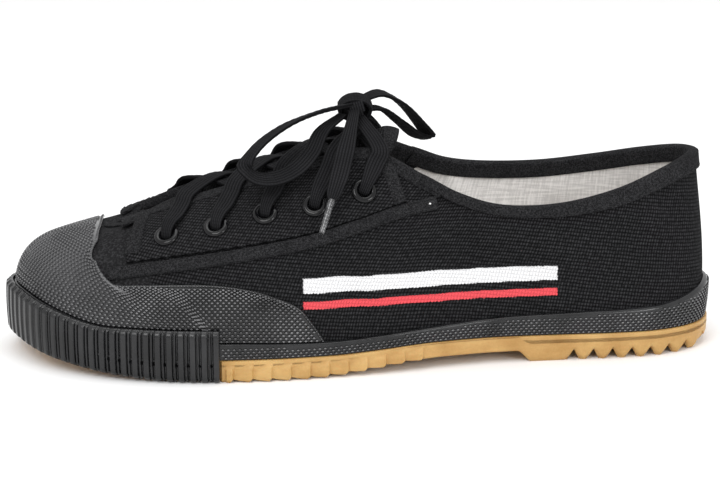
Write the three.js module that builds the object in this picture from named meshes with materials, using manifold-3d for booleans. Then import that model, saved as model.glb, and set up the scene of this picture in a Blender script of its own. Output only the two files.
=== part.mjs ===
// A low canvas martial arts shoe for the left foot, standing empty on its sole.
// Millimetres. +X points to the toe, +Y to the outer (left) side, +Z up.
// The origin is on the floor, under the middle lug of the heel.
import * as THREE from "three";
import { mergeVertices } from "three/addons/utils/BufferGeometryUtils.js";
import Module from "manifold-3d";

const wasm = await Module();
wasm.setup();

// Driving sizes of the last
const LENGTH = 280; // outsole, heel to toe
const BALL_WIDTH = 92; // upper across the ball
const HEEL_WIDTH = 62; // upper across the heel
const HEEL_HEIGHT = 76; // floor to the collar at the back
const INSTEP_HEIGHT = 80; // floor to the top of the throat
const TOE_SPRING = 9; // lift of the sole under the toe tip
const SPRING_START = 0.714 * LENGTH; // where the sole leaves the floor, from the heel's back

// Layers and their clearance
const GAP = 0.3; // between neighbours
const WALL = 1.8; // canvas and lining
const FOXING = 2.2; // rubber band round the upper
const FOXING_HEIGHT = 28; // over the floor, at the heel's back
const GUARD = 1.2; // rubber sheet over the toe
const STAY = 1.3; // lace panel
const TAPE = 1.1; // cotton tape, thickness
const TAPE_WIDTH = 6.2;
const BUMPER = 2.6; // rubber wrap round the toe
const INSOLE = 3.6;
const TONGUE = 2.4;

// Outsole
const SOLE = 8.2; // thickness at the forefoot
const ARCH_TOP = 2; // lift of the sole's top edge at the waist
const ARCH_LIFT = 4.3; // hollow under the waist
const ARCH_START = 0.271 * LENGTH; // from the heel's back
const ARCH_END = 0.589 * LENGTH;
const WAIST = { from: 0.557 * LENGTH, to: 0.4 * LENGTH }; // where the sole's top rises
const SOLE_LIP = 0.9; // the gum rubber stands out past the foxing
const HEEL_BEVEL = 5; // height of the bevel under the heel's back
const HEEL_BEVEL_LENGTH = 11;
const TREAD = 4.4; // height of the toothed lower band
const HEEL_PITCH = 7.8;
const HEEL_NOTCH = 4.6; // notch width at the floor
const FORE_START = 0.425 * LENGTH; // first forefoot tooth, from the heel's back
const FORE_PITCH = 7.2;
const FORE_GROOVE = 1.5; // depth of the grooves under the forefoot
const TOOTH_STEP = 1.1; // how far each forefoot tooth stands out
const HEEL_REST = 40; // the origin, from the heel's back

// Toe bumper
const BUMPER_END = 0.7 * LENGTH; // from the heel's back
const BUMPER_HEIGHT = 20;
const BUMPER_TOE_RISE = 8; // higher at the very toe
const BUMPER_LIFT = 0.6; // its lower edge over the floor
const BUMPER_CURL = 2.2; // its lower edge is rounded under
const BUMPER_RISE = { from: 0.843 * LENGTH, to: 0.996 * LENGTH };
const RIB_PITCH = 4.4;
const RIB = 0.8;

// Lacing
const EYELETS = [
  // x in shares of LENGTH, and the way down from the throat edge in shares of INSTEP_HEIGHT
  { x: 0.768, inset: 0.271 },
  { x: 0.702, inset: 0.285 },
  { x: 0.636, inset: 0.285 },
  { x: 0.57, inset: 0.306 },
  { x: 0.504, inset: 0.22 },
];
const EYELET_BORE = 2.6;
const EYELET_RIM = 4.8;
const EYELET_HEIGHT = 1.1;
const LACE_WIDTH = 7;
const LACE_THICKNESS = 2.2;

const TAU = 2 * Math.PI;
const rad = THREE.MathUtils.degToRad;
const UP = new THREE.Vector3(0, 0, 1);
const v3 = (x, y, z) => new THREE.Vector3(x, y, z);
const smooth = (a, b, x) => {
  const f = THREE.MathUtils.clamp((x - a) / (b - a), 0, 1);
  return f * f * (3 - 2 * f);
};

const widthAt = (x) => THREE.MathUtils.lerp(HEEL_WIDTH, BALL_WIDTH, smooth(0.3, 0.65, x));
const heightAt = (x) => THREE.MathUtils.lerp(HEEL_HEIGHT, INSTEP_HEIGHT, smooth(0.38, 0.45, x));

// Height of the sole's underside and top, x from the heel's back.
const spring = (x) => TOE_SPRING * (Math.max(0, x - SPRING_START) / (LENGTH - SPRING_START)) ** 2;
const soleTop = (x) => SOLE + spring(x) + ARCH_TOP * smooth(WAIST.from, WAIST.to, x);

// Rows run round the feather line, where the upper meets the sole: x in shares of LENGTH, y in
// shares of the width there. ex, ey and ez place the edge of the opening, ez in shares of the
// height there. lean and drop are degrees, rise and reach the handles of the wall's curve.
const HEEL_ROW = { x: 0.011, y: 0, ex: 0.026, ey: 0, ez: 1, lean: 8, rise: 0.33, drop: 84, reach: 0.3 };
const TOE_ROW = { x: 0.979, y: -0.035, ex: 0.843, ey: 0, ez: 0.61, lean: 8, rise: 0.6, drop: 6, reach: 0.42 };
const LATERAL = [
  { x: 0.032, y: 0.26, ex: 0.043, ey: 0.18, ez: 0.993, lean: 8, rise: 0.33, drop: 82, reach: 0.3 },
  { x: 0.089, y: 0.42, ex: 0.091, ey: 0.315, ez: 0.934, lean: 8, rise: 0.33, drop: 80, reach: 0.3 },
  { x: 0.161, y: 0.47, ex: 0.154, ey: 0.39, ez: 0.851, lean: 8, rise: 0.33, drop: 78, reach: 0.3 },
  { x: 0.243, y: 0.485, ex: 0.232, ey: 0.43, ez: 0.79, lean: 8, rise: 0.33, drop: 76, reach: 0.3 },
  { x: 0.329, y: 0.51, ex: 0.311, ey: 0.44, ez: 0.786, lean: 8, rise: 0.36, drop: 70, reach: 0.3 },
  { x: 0.411, y: 0.53, ex: 0.371, ey: 0.4, ez: 0.845, lean: 8, rise: 0.4, drop: 60, reach: 0.3 },
  { x: 0.489, y: 0.527, ex: 0.421, ey: 0.32, ez: 0.905, lean: 7, rise: 0.42, drop: 52, reach: 0.3 },
  { x: 0.564, y: 0.514, ex: 0.493, ey: 0.21, ez: 1, lean: 6, rise: 0.44, drop: 44, reach: 0.32 },
  { x: 0.643, y: 0.516, ex: 0.571, ey: 0.175, ez: 0.945, lean: 5, rise: 0.46, drop: 40, reach: 0.34 },
  { x: 0.721, y: 0.516, ex: 0.654, ey: 0.155, ez: 0.85, lean: 4, rise: 0.48, drop: 34, reach: 0.36 },
  { x: 0.793, y: 0.484, ex: 0.732, ey: 0.135, ez: 0.768, lean: 3, rise: 0.5, drop: 28, reach: 0.38 },
  { x: 0.857, y: 0.418, ex: 0.793, ey: 0.108, ez: 0.692, lean: 5, rise: 0.52, drop: 20, reach: 0.4 },
  { x: 0.918, y: 0.3, ex: 0.825, ey: 0.068, ez: 0.64, lean: 6, rise: 0.55, drop: 12, reach: 0.41 },
  { x: 0.956, y: 0.15, ex: 0.838, ey: 0.028, ez: 0.617, lean: 8, rise: 0.58, drop: 8, reach: 0.42 },
];
const MEDIAL = [
  { x: 0.032, y: -0.265, ex: 0.043, ey: -0.18, ez: 0.99, lean: 8, rise: 0.33, drop: 82, reach: 0.3 },
  { x: 0.089, y: -0.42, ex: 0.091, ey: -0.315, ez: 0.954, lean: 8, rise: 0.33, drop: 80, reach: 0.3 },
  { x: 0.161, y: -0.465, ex: 0.154, ey: -0.39, ez: 0.91, lean: 8, rise: 0.33, drop: 78, reach: 0.3 },
  { x: 0.243, y: -0.455, ex: 0.232, ey: -0.42, ez: 0.875, lean: 8, rise: 0.33, drop: 76, reach: 0.3 },
  { x: 0.329, y: -0.43, ex: 0.311, ey: -0.42, ez: 0.872, lean: 9, rise: 0.36, drop: 72, reach: 0.3 },
  { x: 0.411, y: -0.405, ex: 0.371, ey: -0.37, ez: 0.9, lean: 9, rise: 0.4, drop: 64, reach: 0.3 },
  { x: 0.489, y: -0.39, ex: 0.421, ey: -0.3, ez: 0.936, lean: 8, rise: 0.42, drop: 54, reach: 0.3 },
  { x: 0.564, y: -0.4, ex: 0.493, ey: -0.2, ez: 1, lean: 7, rise: 0.44, drop: 44, reach: 0.32 },
  { x: 0.643, y: -0.44, ex: 0.571, ey: -0.165, ez: 0.945, lean: 5, rise: 0.46, drop: 40, reach: 0.34 },
  { x: 0.721, y: -0.484, ex: 0.654, ey: -0.146, ez: 0.85, lean: 4, rise: 0.48, drop: 34, reach: 0.36 },
  { x: 0.793, y: -0.49, ex: 0.732, ey: -0.127, ez: 0.768, lean: 3, rise: 0.5, drop: 28, reach: 0.38 },
  { x: 0.857, y: -0.457, ex: 0.793, ey: -0.102, ez: 0.692, lean: 5, rise: 0.52, drop: 20, reach: 0.4 },
  { x: 0.918, y: -0.37, ex: 0.825, ey: -0.064, ez: 0.64, lean: 6, rise: 0.55, drop: 12, reach: 0.41 },
  { x: 0.956, y: -0.223, ex: 0.838, ey: -0.028, ez: 0.617, lean: 8, rise: 0.58, drop: 8, reach: 0.42 },
];
const ROWS = [HEEL_ROW, ...LATERAL, TOE_ROW, ...MEDIAL.toReversed()];
const COUNT = ROWS.length;
const TOE = LATERAL.length + 1; // the toe's place in ROWS

// The row's wall as four Bezier points, from the feather line to the opening.
function handles(row) {
  const foot = v3(row.x * LENGTH, row.y * widthAt(row.x), soleTop(row.x * LENGTH) + GAP);
  const edge = v3(row.ex * LENGTH, row.ey * widthAt(row.ex), row.ez * heightAt(row.ex));
  const out = v3(foot.x - edge.x, foot.y - edge.y, 0).normalize();
  const size = foot.distanceTo(edge);
  const low = foot
    .clone()
    .addScaledVector(UP, row.rise * size * Math.cos(rad(row.lean)))
    .addScaledVector(out, row.rise * size * Math.sin(rad(row.lean)));
  const high = edge
    .clone()
    .addScaledVector(UP, -row.reach * size * Math.sin(rad(row.drop)))
    .addScaledVector(out, row.reach * size * Math.cos(rad(row.drop)));
  return [foot, low, high, edge];
}
const HANDLES = ROWS.map(handles);

// Catmull-Rom through the rows, which close on themselves.
function handlesAt(t) {
  const i = Math.floor(t);
  const f = t - i;
  const near = [-1, 0, 1, 2].map((k) => HANDLES[(i + k + 2 * COUNT) % COUNT]);
  const weights = [
    (-f + 2 * f * f - f ** 3) / 2,
    (2 - 5 * f * f + 3 * f ** 3) / 2,
    (f + 4 * f * f - 3 * f ** 3) / 2,
    (-f * f + f ** 3) / 2,
  ];
  return [0, 1, 2, 3].map((k) => {
    const p = v3(0, 0, 0);
    near.forEach((row, j) => p.addScaledVector(row[k], weights[j]));
    return p;
  });
}

// The wall's outer face: t runs over the rows, v from the feather line (0) to the opening (1).
function surface(t, v) {
  const [a, b, c, d] = handlesAt(t);
  const w = 1 - v;
  return v3(0, 0, 0)
    .addScaledVector(a, w * w * w)
    .addScaledVector(b, 3 * w * w * v)
    .addScaledVector(c, 3 * w * v * v)
    .addScaledVector(d, v * v * v);
}

function normal(t, v) {
  const e = 1e-3;
  const along = surface(t + e, v).sub(surface(t - e, v));
  const up = surface(t, Math.min(1, v + e)).sub(surface(t, Math.max(0, v - e)));
  return up.cross(along).normalize();
}

const offset = (t, v, out) => surface(t, v).addScaledVector(normal(t, v), out);

// The plan normal of the feather line, pointing out.
function planNormal(t) {
  const e = 1e-2;
  const along = surface(t + e, 0).sub(surface(t - e, 0));
  return v3(-along.y, along.x, 0).normalize();
}

// The v at which a value of the wall's point first passes a target.
function crossing(t, passed) {
  let low = 0;
  const steps = 40;
  for (let k = 1; k <= steps; k++) {
    if (passed(surface(t, k / steps))) {
      let high = k / steps;
      for (let n = 0; n < 20; n++) {
        const middle = (low + high) / 2;
        if (passed(surface(t, middle))) high = middle;
        else low = middle;
      }
      return high;
    }
    low = k / steps;
  }
  return 1;
}

// A point at height z beside the lower wall, out millimetres away in plan.
function beside(t, z, out) {
  const foot = surface(t, 0);
  const at = z <= foot.z ? foot : surface(t, crossing(t, (p) => p.z >= z));
  return v3(at.x, at.y, z).addScaledVector(planNormal(t), out);
}

// A point on the wall down millimetres below the opening's edge, along the wall.
function belowEdge(t, down, out) {
  const steps = 60;
  let left = down;
  let from = surface(t, 1);
  for (let k = 1; k <= steps; k++) {
    const v = 1 - k / steps;
    const to = surface(t, v);
    const step = from.distanceTo(to);
    if (step >= left) return offset(t, v + (1 - left / step) / steps, out);
    left -= step;
    from = to;
  }
  return offset(t, 0, out);
}

// The t on one side (from row a to row b) where a point's x reaches a target.
function rowWhere(a, b, target, point) {
  let low = a;
  let high = b;
  const rising = point(b).x > point(a).x;
  for (let n = 0; n < 30; n++) {
    const middle = (low + high) / 2;
    if (point(middle).x < target === rising) low = middle;
    else high = middle;
  }
  return (low + high) / 2;
}

// Closed meshes
function solid(geometry) {
  const bare = geometry.clone();
  bare.deleteAttribute("normal");
  bare.deleteAttribute("uv");
  const merged = mergeVertices(bare, 1e-4);
  return new wasm.Manifold(
    new wasm.Mesh({
      numProp: 3,
      vertProperties: merged.attributes.position.array,
      triVerts: new Uint32Array(merged.index.array),
    }),
  );
}

function geometryOf(made) {
  const mesh = made.getMesh();
  return new THREE.BufferGeometry()
    .setAttribute("position", new THREE.BufferAttribute(mesh.vertProperties, 3))
    .setIndex(new THREE.BufferAttribute(mesh.triVerts, 1));
}

// Sections of equal point count joined in order; cap lists the triangles of both ends, or is null
// where the last section meets the first.
function loft(sections, cap = null) {
  const size = sections[0].length;
  const faces = [];
  const spans = cap ? sections.length - 1 : sections.length;
  for (let i = 0; i < spans; i++) {
    const a = i * size;
    const b = ((i + 1) % sections.length) * size;
    for (let j = 0; j < size; j++) {
      const k = (j + 1) % size;
      // The two faces of a sheet are split the same way, so layers stay apart.
      if (j < size / 2) faces.push(a + j, b + j, b + k, a + j, b + k, a + k);
      else faces.push(a + j, b + j, a + k, b + j, b + k, a + k);
    }
  }
  const last = (sections.length - 1) * size;
  for (const [a, b, c] of cap ?? []) faces.push(a, b, c, last + a, last + c, last + b);
  const geometry = new THREE.BufferGeometry().setFromPoints(sections.flat()).setIndex(faces);
  const made = solid(geometry);
  if (made.volume() > 0) return made;
  return solid(geometry.setIndex(faces.toReversed()));
}

const flat = (shape) => shape.map(([x, y]) => new THREE.Vector2(x, y));
const outlineCap = (shape) => THREE.ShapeUtils.triangulateShape(flat(shape), []);

// The cap of a thin sheet, whose section runs along one face and back along the other.
function sheetCap(size) {
  const triangles = [];
  for (let j = 0; j < size / 2 - 1; j++) {
    const back = size - 1 - j;
    triangles.push([j, j + 1, back], [j + 1, back - 1, back]);
  }
  return triangles;
}

// A layer between two offsets of the wall, round the whole upper.
const SHARES = [0, 0.15, 0.34, 0.56, 0.79, 1];
const ROW_STEPS = 2;
function layer(inner, outer, shares = SHARES) {
  const sections = [];
  for (let i = 0; i < COUNT * ROW_STEPS; i++) {
    const t = i / ROW_STEPS;
    sections.push([
      ...shares.map((v) => offset(t, v, outer)),
      ...shares.toReversed().map((v) => offset(t, v, inner)),
    ]);
  }
  return loft(sections);
}

// An outline in the side view, [x from the heel's back, z], carried across the shoe.
function sidePrism(outline, from, to) {
  const shape = new THREE.Shape(outline.map(([x, z]) => new THREE.Vector2(x, z)));
  const geometry = new THREE.ExtrudeGeometry(shape, { depth: to - from, bevelEnabled: false });
  geometry.rotateX(Math.PI / 2);
  geometry.translate(0, to, 0);
  return solid(geometry);
}

// A strip of even width round a line in the side view.
function stripOutline(line, width) {
  const curve = new THREE.SplineCurve(line.map(([x, z]) => new THREE.Vector2(x, z)));
  const points = curve.getPoints(line.length + 2);
  const edge = (side) =>
    points.map((p, i) => {
      const a = points[Math.max(0, i - 1)];
      const b = points[Math.min(points.length - 1, i + 1)];
      const along = b.clone().sub(a).normalize();
      return [p.x - (side * along.y * width) / 2, p.y + (side * along.x * width) / 2];
    });
  return [...edge(1), ...edge(-1).toReversed()];
}

// A line in the side view, x in shares of LENGTH and z in shares of INSTEP_HEIGHT.
const sideLine = (rows) => rows.map(({ x, z }) => [x * LENGTH, z * INSTEP_HEIGHT]);

const FAR = 90; // past either side of the shoe
const SIDES = [
  { name: "lateral", sign: 1, from: 0, to: TOE },
  { name: "medial", sign: -1, from: COUNT, to: TOE },
];
const oneSide = (outline, side) =>
  side.sign > 0 ? sidePrism(outline, 1, FAR) : sidePrism(outline, -FAR, -1);

const meshes = [];
const COLOURS = {
  canvas: { color: 0x1b1b1d, roughness: 0.95 },
  tape: { color: 0x232326, roughness: 0.9 },
  rubber: { color: 0x2e2f31, roughness: 0.6 },
  gum: { color: 0xd9a052, roughness: 0.55 },
  lining: { color: 0xc9c3ba, roughness: 0.95 },
  lace: { color: 0x1d1d1f, roughness: 0.95 },
  metal: { color: 0x1c1c1e, roughness: 0.2, metalness: 0.8 },
  aglet: { color: 0x8d8f90, roughness: 0.15 },
};
function piece(name, made, look) {
  const mesh = new THREE.Mesh(geometryOf(made), new THREE.MeshStandardMaterial(COLOURS[look]));
  mesh.name = name;
  meshes.push(mesh);
}

// Upper: one hollow wall with the eyelet holes
const eyelets = SIDES.flatMap((side) =>
  EYELETS.map(({ x, inset }, i) => {
    const down = inset * INSTEP_HEIGHT;
    const t = rowWhere(side.from, side.to, x * LENGTH, (s) => belowEdge(s, down, 0));
    const seat = belowEdge(t, down, 0);
    const out = belowEdge(t, down, 10).sub(seat).normalize();
    return { side, number: i + 1, t, seat, out, down };
  }),
);

function standing(geometry, at, out) {
  const turn = new THREE.Quaternion().setFromUnitVectors(UP, out);
  return solid(geometry.applyQuaternion(turn).translate(at.x, at.y, at.z));
}

function drill(made, radius) {
  const depth = 12;
  return eyelets.reduce((left, { seat, out }) => {
    const cylinder = new THREE.CylinderGeometry(radius, radius, depth, 8).rotateX(Math.PI / 2);
    return left.subtract(standing(cylinder, seat, out));
  }, made);
}
piece("upper", drill(layer(-WALL, 0), EYELET_BORE + GAP), "canvas");

// Foxing: rubber band on the sole's rim, round the whole upper
const EDGE = GAP + FOXING; // its outer face, from the upper
const bumperTop = (x) => BUMPER_HEIGHT + BUMPER_TOE_RISE * smooth(BUMPER_RISE.from, BUMPER_RISE.to, x);
// x in shares of LENGTH, z in shares of FOXING_HEIGHT
const FOXING_LINE = [
  { x: -0.02, z: 1 },
  { x: 0.02, z: 0.893 },
  { x: 0.08, z: 0.736 },
  { x: 0.2, z: 0.679 },
  { x: 0.33, z: 0.636 },
  { x: 0.44, z: 0.557 },
  { x: 0.55, z: 0.486 },
  { x: 0.68, z: 0.521 },
];
const foxingCurve = new THREE.SplineCurve(
  FOXING_LINE.map(({ x, z }) => new THREE.Vector2(x * LENGTH, z * FOXING_HEIGHT)),
);
const FOXING_TOE = [BUMPER_END + 5, ...[0.757, 0.843, 0.893, 0.936, 0.964].map((x) => x * LENGTH), LENGTH + 4];
const foxingTop = [
  ...foxingCurve.getPoints(14).map((p) => [p.x, p.y]),
  ...FOXING_TOE.map((x) => [x, bumperTop(x) - 2 * GAP]),
];
const STATIONS = [
  LENGTH + 6,
  ...[0.957, 0.9, 0.843, 0.786].map((x) => x * LENGTH),
  SPRING_START,
  ...[0, 1 / 3, 2 / 3, 1].map((share) => THREE.MathUtils.lerp(WAIST.from, WAIST.to, share)),
  -6,
];
const floorLine = STATIONS.map((x) => [x, soleTop(x) + GAP]);
const foxingArea = [...foxingTop, ...floorLine];

// The bumper's path along one side, round the toe and back
function bumperPath() {
  const step = 0.02;
  const first = rowWhere(0, TOE, BUMPER_END, (s) => surface(s, 0));
  const last = rowWhere(COUNT, TOE, BUMPER_END, (s) => surface(s, 0));
  const path = [];
  let run = 0;
  let before = beside(first, 0, EDGE + BUMPER);
  for (let t = first; t < last; t += step) {
    const p = beside(t, 0, EDGE + BUMPER);
    run += p.distanceTo(before);
    before = p;
    path.push({ t, run });
  }
  return { path, run, first, last };
}
function bumperSection(t, inner, outer, low, high) {
  const foot = surface(t, 0);
  const out = planNormal(t);
  const wall = surface(t, crossing(t, (p) => p.z >= high));
  const lean = Math.min(0, wall.sub(foot).dot(out));
  const at = (z, away) => v3(foot.x, foot.y, z).addScaledVector(out, away);
  return [
    at(low, inner),
    at(low, outer - BUMPER_CURL),
    at(low + BUMPER_CURL, outer),
    at(high, outer + lean),
    at(high, inner + lean),
  ];
}
const bumperShape = [
  [0, 0],
  [1, 0],
  [2, 1],
  [2, 10],
  [0, 10],
];

// What the bumper covers, cut from the foxing and the outsole
function bumperSpace() {
  const { first, last } = bumperPath();
  const margin = 0.02;
  const steps = 56;
  const sections = Array.from({ length: steps + 1 }, (_, i) => {
    const t = THREE.MathUtils.lerp(first - margin, last + margin, i / steps);
    return bumperSection(t, EDGE + 0.06, EDGE + 12, -5, bumperTop(surface(t, 0).x) + GAP);
  });
  return loft(sections, outlineCap(bumperShape));
}
const covered = bumperSpace();
piece(
  "foxing",
  layer(GAP, GAP + FOXING, SHARES.slice(0, 3))
    .intersect(sidePrism(foxingArea, -FAR, FAR))
    .subtract(covered),
  "rubber",
);

// Toe guard: textured rubber sheet over the toe and along the ball, down to the foxing
const GUARD_EDGE = [
  { x: 0.557, z: 0.075 },
  { x: 0.564, z: 0.175 },
  { x: 0.577, z: 0.25 },
  { x: 0.596, z: 0.331 },
  { x: 0.625, z: 0.381 },
  { x: 0.659, z: 0.417 },
  { x: 0.704, z: 0.438 },
  { x: 0.75, z: 0.438 },
  { x: 0.802, z: 0.43 },
  { x: 0.843, z: 0.43 },
  { x: 0.859, z: 0.475 },
  { x: 0.864, z: 0.512 },
  { x: 0.864, z: 1.2 },
];
const aboveFoxing = [...foxingTop.map(([x, z]) => [x, z + GAP]), [LENGTH + 4, 1.2 * INSTEP_HEIGHT], [-6, 1.2 * INSTEP_HEIGHT]];
const guardArea = [...sideLine(GUARD_EDGE), [LENGTH + 4, 1.2 * INSTEP_HEIGHT], [LENGTH + 4, 0]];
piece(
  "toe_guard",
  layer(GAP, GAP + GUARD)
    .intersect(sidePrism(guardArea, -FAR, FAR))
    .intersect(sidePrism(aboveFoxing, -FAR, FAR))
    .subtract(covered),
  "rubber",
);

// Lace panels and tapes, outlined in the side view; the first rows run up the panel's front
const STAY_EDGE = [
  { x: 0.823, z: 0.55 },
  { x: 0.816, z: 0.625 },
  { x: 0.804, z: 0.7 },
  { x: 0.793, z: 0.775 },
  { x: 0.793, z: 1.2 },
  { x: 0.489, z: 1.2 },
  { x: 0.489, z: 1.025 },
  { x: 0.475, z: 0.981 },
  { x: 0.459, z: 0.912 },
  { x: 0.45, z: 0.825 },
  { x: 0.446, z: 0.781 },
];
const SEAM = [
  { x: 0.845, z: 0.475 },
  { x: 0.779, z: 0.512 },
  { x: 0.714, z: 0.547 },
  { x: 0.65, z: 0.583 },
  { x: 0.589, z: 0.62 },
  { x: 0.518, z: 0.681 },
  { x: 0.457, z: 0.738 },
  { x: 0.404, z: 0.775 },
];
const SEAM_WIDTH = 4.8; // in the side view
const seamLine = sideLine(SEAM);
const seamStrip = stripOutline(seamLine, SEAM_WIDTH);
const overSeam = seamLine.toReversed().slice(2).map(([x, z]) => [x, z + SEAM_WIDTH / 2 + GAP]);
const stayArea = [...sideLine(STAY_EDGE), ...overSeam];
for (const side of SIDES) {
  const panel = layer(GAP, GAP + STAY).intersect(oneSide(stayArea, side));
  piece(`lace_panel_${side.name}`, drill(panel, EYELET_BORE + GAP), "canvas");
  piece(`seam_tape_${side.name}`, layer(GAP, GAP + TAPE).intersect(oneSide(seamStrip, side)), "tape");
}

// Collar binding: tape folded over the opening's edge, from throat to throat round the heel
const BINDING_INSIDE = 5;
const BINDING_FRONT = 3.4; // narrower where the collar dips
const COLLAR_FRONT = 7; // in rows from the heel
const COLLAR_STEPS = 30;
function bindingShape(width) {
  return [
    [width, GAP],
    [width, GAP + TAPE],
    [1, GAP + TAPE],
    [-GAP - TAPE, 0],
    [-GAP - TAPE, -WALL],
    [1, -WALL - GAP - TAPE],
    [BINDING_INSIDE, -WALL - GAP - TAPE],
    [BINDING_INSIDE, -WALL - GAP],
    [-GAP, -WALL - GAP],
    [-GAP, GAP],
  ];
}
function bindingSection(t) {
  const width = THREE.MathUtils.lerp(TAPE_WIDTH, BINDING_FRONT, smooth(2.5, 5, Math.abs(t)));
  const edge = surface(t, 1);
  const out = normal(t, 1);
  const up = edge.clone().sub(surface(t, 0.97)).normalize();
  return bindingShape(width).map(([down, away]) =>
    down > 0
      ? belowEdge(t, down, away)
      : edge.clone().addScaledVector(up, -down).addScaledVector(out, away),
  );
}
const collar = Array.from({ length: COLLAR_STEPS + 1 }, (_, i) =>
  bindingSection(THREE.MathUtils.lerp(-COLLAR_FRONT, COLLAR_FRONT, i / COLLAR_STEPS)),
);
piece("collar_binding", loft(collar, outlineCap(bindingShape(TAPE_WIDTH))), "tape");

// Outsole: plan outline and side profile, toothed in its lower band
const PLAN_STEPS = 2;
function planOutline() {
  const points = [];
  for (let i = 0; i < COUNT * PLAN_STEPS; i++) {
    const t = i / PLAN_STEPS;
    const p = beside(t, 0, EDGE + SOLE_LIP);
    points.push([p.x, p.y]);
  }
  return points;
}
function planPrism(outline, low, high) {
  const shape = new THREE.Shape(outline.map(([x, y]) => new THREE.Vector2(x, y)));
  const geometry = new THREE.ExtrudeGeometry(shape, { depth: high - low, bevelEnabled: false });
  return solid(geometry.translate(0, 0, low));
}
const archAt = (x) =>
  ARCH_LIFT * smooth(ARCH_START, ARCH_START + 6, x) * smooth(ARCH_END, ARCH_END - 0.196 * LENGTH, x);
const bevelAt = (x) => HEEL_BEVEL * Math.max(0, 1 - x / HEEL_BEVEL_LENGTH) ** 1.5;
const soleBottom = (x) => spring(x) + archAt(x) + bevelAt(x);

const heelNotches = [];
for (let x = HEEL_REST + 2.5 * HEEL_PITCH; x > HEEL_PITCH; x -= HEEL_PITCH) heelNotches.push(x);
const foreGrooves = [];
for (let x = FORE_START; x < LENGTH - 3 * FORE_PITCH; x += FORE_PITCH) foreGrooves.push(x);

function bottomLine() {
  const points = [];
  const add = (x, up = 0) => points.push([x, soleBottom(x) + up]);
  for (let x = -6; x < heelNotches.at(-1) - HEEL_NOTCH; x += 2) add(x);
  for (const x of heelNotches.toReversed()) {
    add(x - HEEL_NOTCH / 2);
    add(x, TREAD);
    add(x + HEEL_NOTCH / 2);
  }
  for (let x = ARCH_START - 3; x < foreGrooves[0] - 4; x += 5) add(x);
  for (const x of foreGrooves) {
    add(x - 0.1);
    add(x + 0.1, FORE_GROOVE);
    add(x + 1.6);
  }
  for (let x = foreGrooves.at(-1) + 6; x < LENGTH + 6; x += 6) add(x);
  return points;
}
const topLine = STATIONS.map((x) => [x, soleTop(x)]);
const soleProfile = [...bottomLine(), ...topLine];
const body = planPrism(planOutline(), -5, INSTEP_HEIGHT / 2).intersect(sidePrism(soleProfile, -FAR, FAR));

// Teeth along the forefoot's edge: each stands out further towards the heel, then steps back.
function toothOutline(side, x) {
  const place = (at, out) => {
    const t = rowWhere(side.from, side.to, at, (s) => surface(s, 0));
    const p = beside(t, 0, EDGE + SOLE_LIP + out);
    return [p.x, p.y];
  };
  return [place(x, -3), place(x, TOOTH_STEP), place(x + FORE_PITCH - 0.4, 0), place(x + FORE_PITCH - 0.4, -3)];
}
let outsole = body;
for (const side of SIDES)
  for (const x of foreGrooves.filter((at) => at + FORE_PITCH < BUMPER_END)) {
    const outline = toothOutline(side, x);
    const area = THREE.ShapeUtils.area(flat(outline));
    const tooth = planPrism(area > 0 ? outline : outline.toReversed(), soleBottom(x) + 0.1, soleBottom(x) + TREAD);
    outsole = outsole.add(tooth);
  }
// Notches round the heel's back
for (let y = -2; y <= 2; y++) {
  const notch = new THREE.CylinderGeometry(0.01, HEEL_NOTCH / 2, TREAD, 3, 1).rotateX(Math.PI / 2);
  notch.scale(4, 1, 1).translate(1.5, y * HEEL_PITCH, HEEL_BEVEL + TREAD / 2 - 2);
  outsole = outsole.subtract(solid(notch));
}
piece("outsole", outsole.subtract(covered), "gum");

// Insole, lying on the outsole inside the wall
const insoleOutline = [];
for (let i = 0; i < COUNT * 2; i++) {
  const p = beside(i / 2, 0, -WALL - 2 * GAP);
  insoleOutline.push([p.x, p.y]);
}
const insoleTop = topLine.map(([x, z]) => [x, z + GAP + INSOLE]);
const insoleBottom = topLine.map(([x, z]) => [x, z + GAP]).toReversed();
piece(
  "insole",
  planPrism(insoleOutline, 0, 60).intersect(sidePrism([...insoleBottom, ...insoleTop], -FAR, FAR)),
  "lining",
);

// Toe bumper: ribbed wrap over the foxing and the sole's edge
function bumper() {
  const { path, run, last } = bumperPath();
  const at = (distance) => path.find((p) => p.run >= distance)?.t ?? last;
  const ribs = Math.round(run / RIB_PITCH);
  const pitch = run / ribs;
  const rib = [
    [0.08, 0],
    [0.24, RIB],
    [0.74, RIB],
  ];
  const sections = [];
  for (let k = 0; k < ribs; k++)
    for (const [share, out] of rib) {
      const t = at((k + share) * pitch);
      const x = surface(t, 0).x;
      const outer = EDGE + GAP + BUMPER - RIB + out;
      sections.push(bumperSection(t, EDGE + GAP, outer, spring(x) + BUMPER_LIFT, bumperTop(x)));
    }
  return loft(sections, outlineCap(bumperShape));
}
piece("toe_bumper", bumper(), "rubber");

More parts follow.
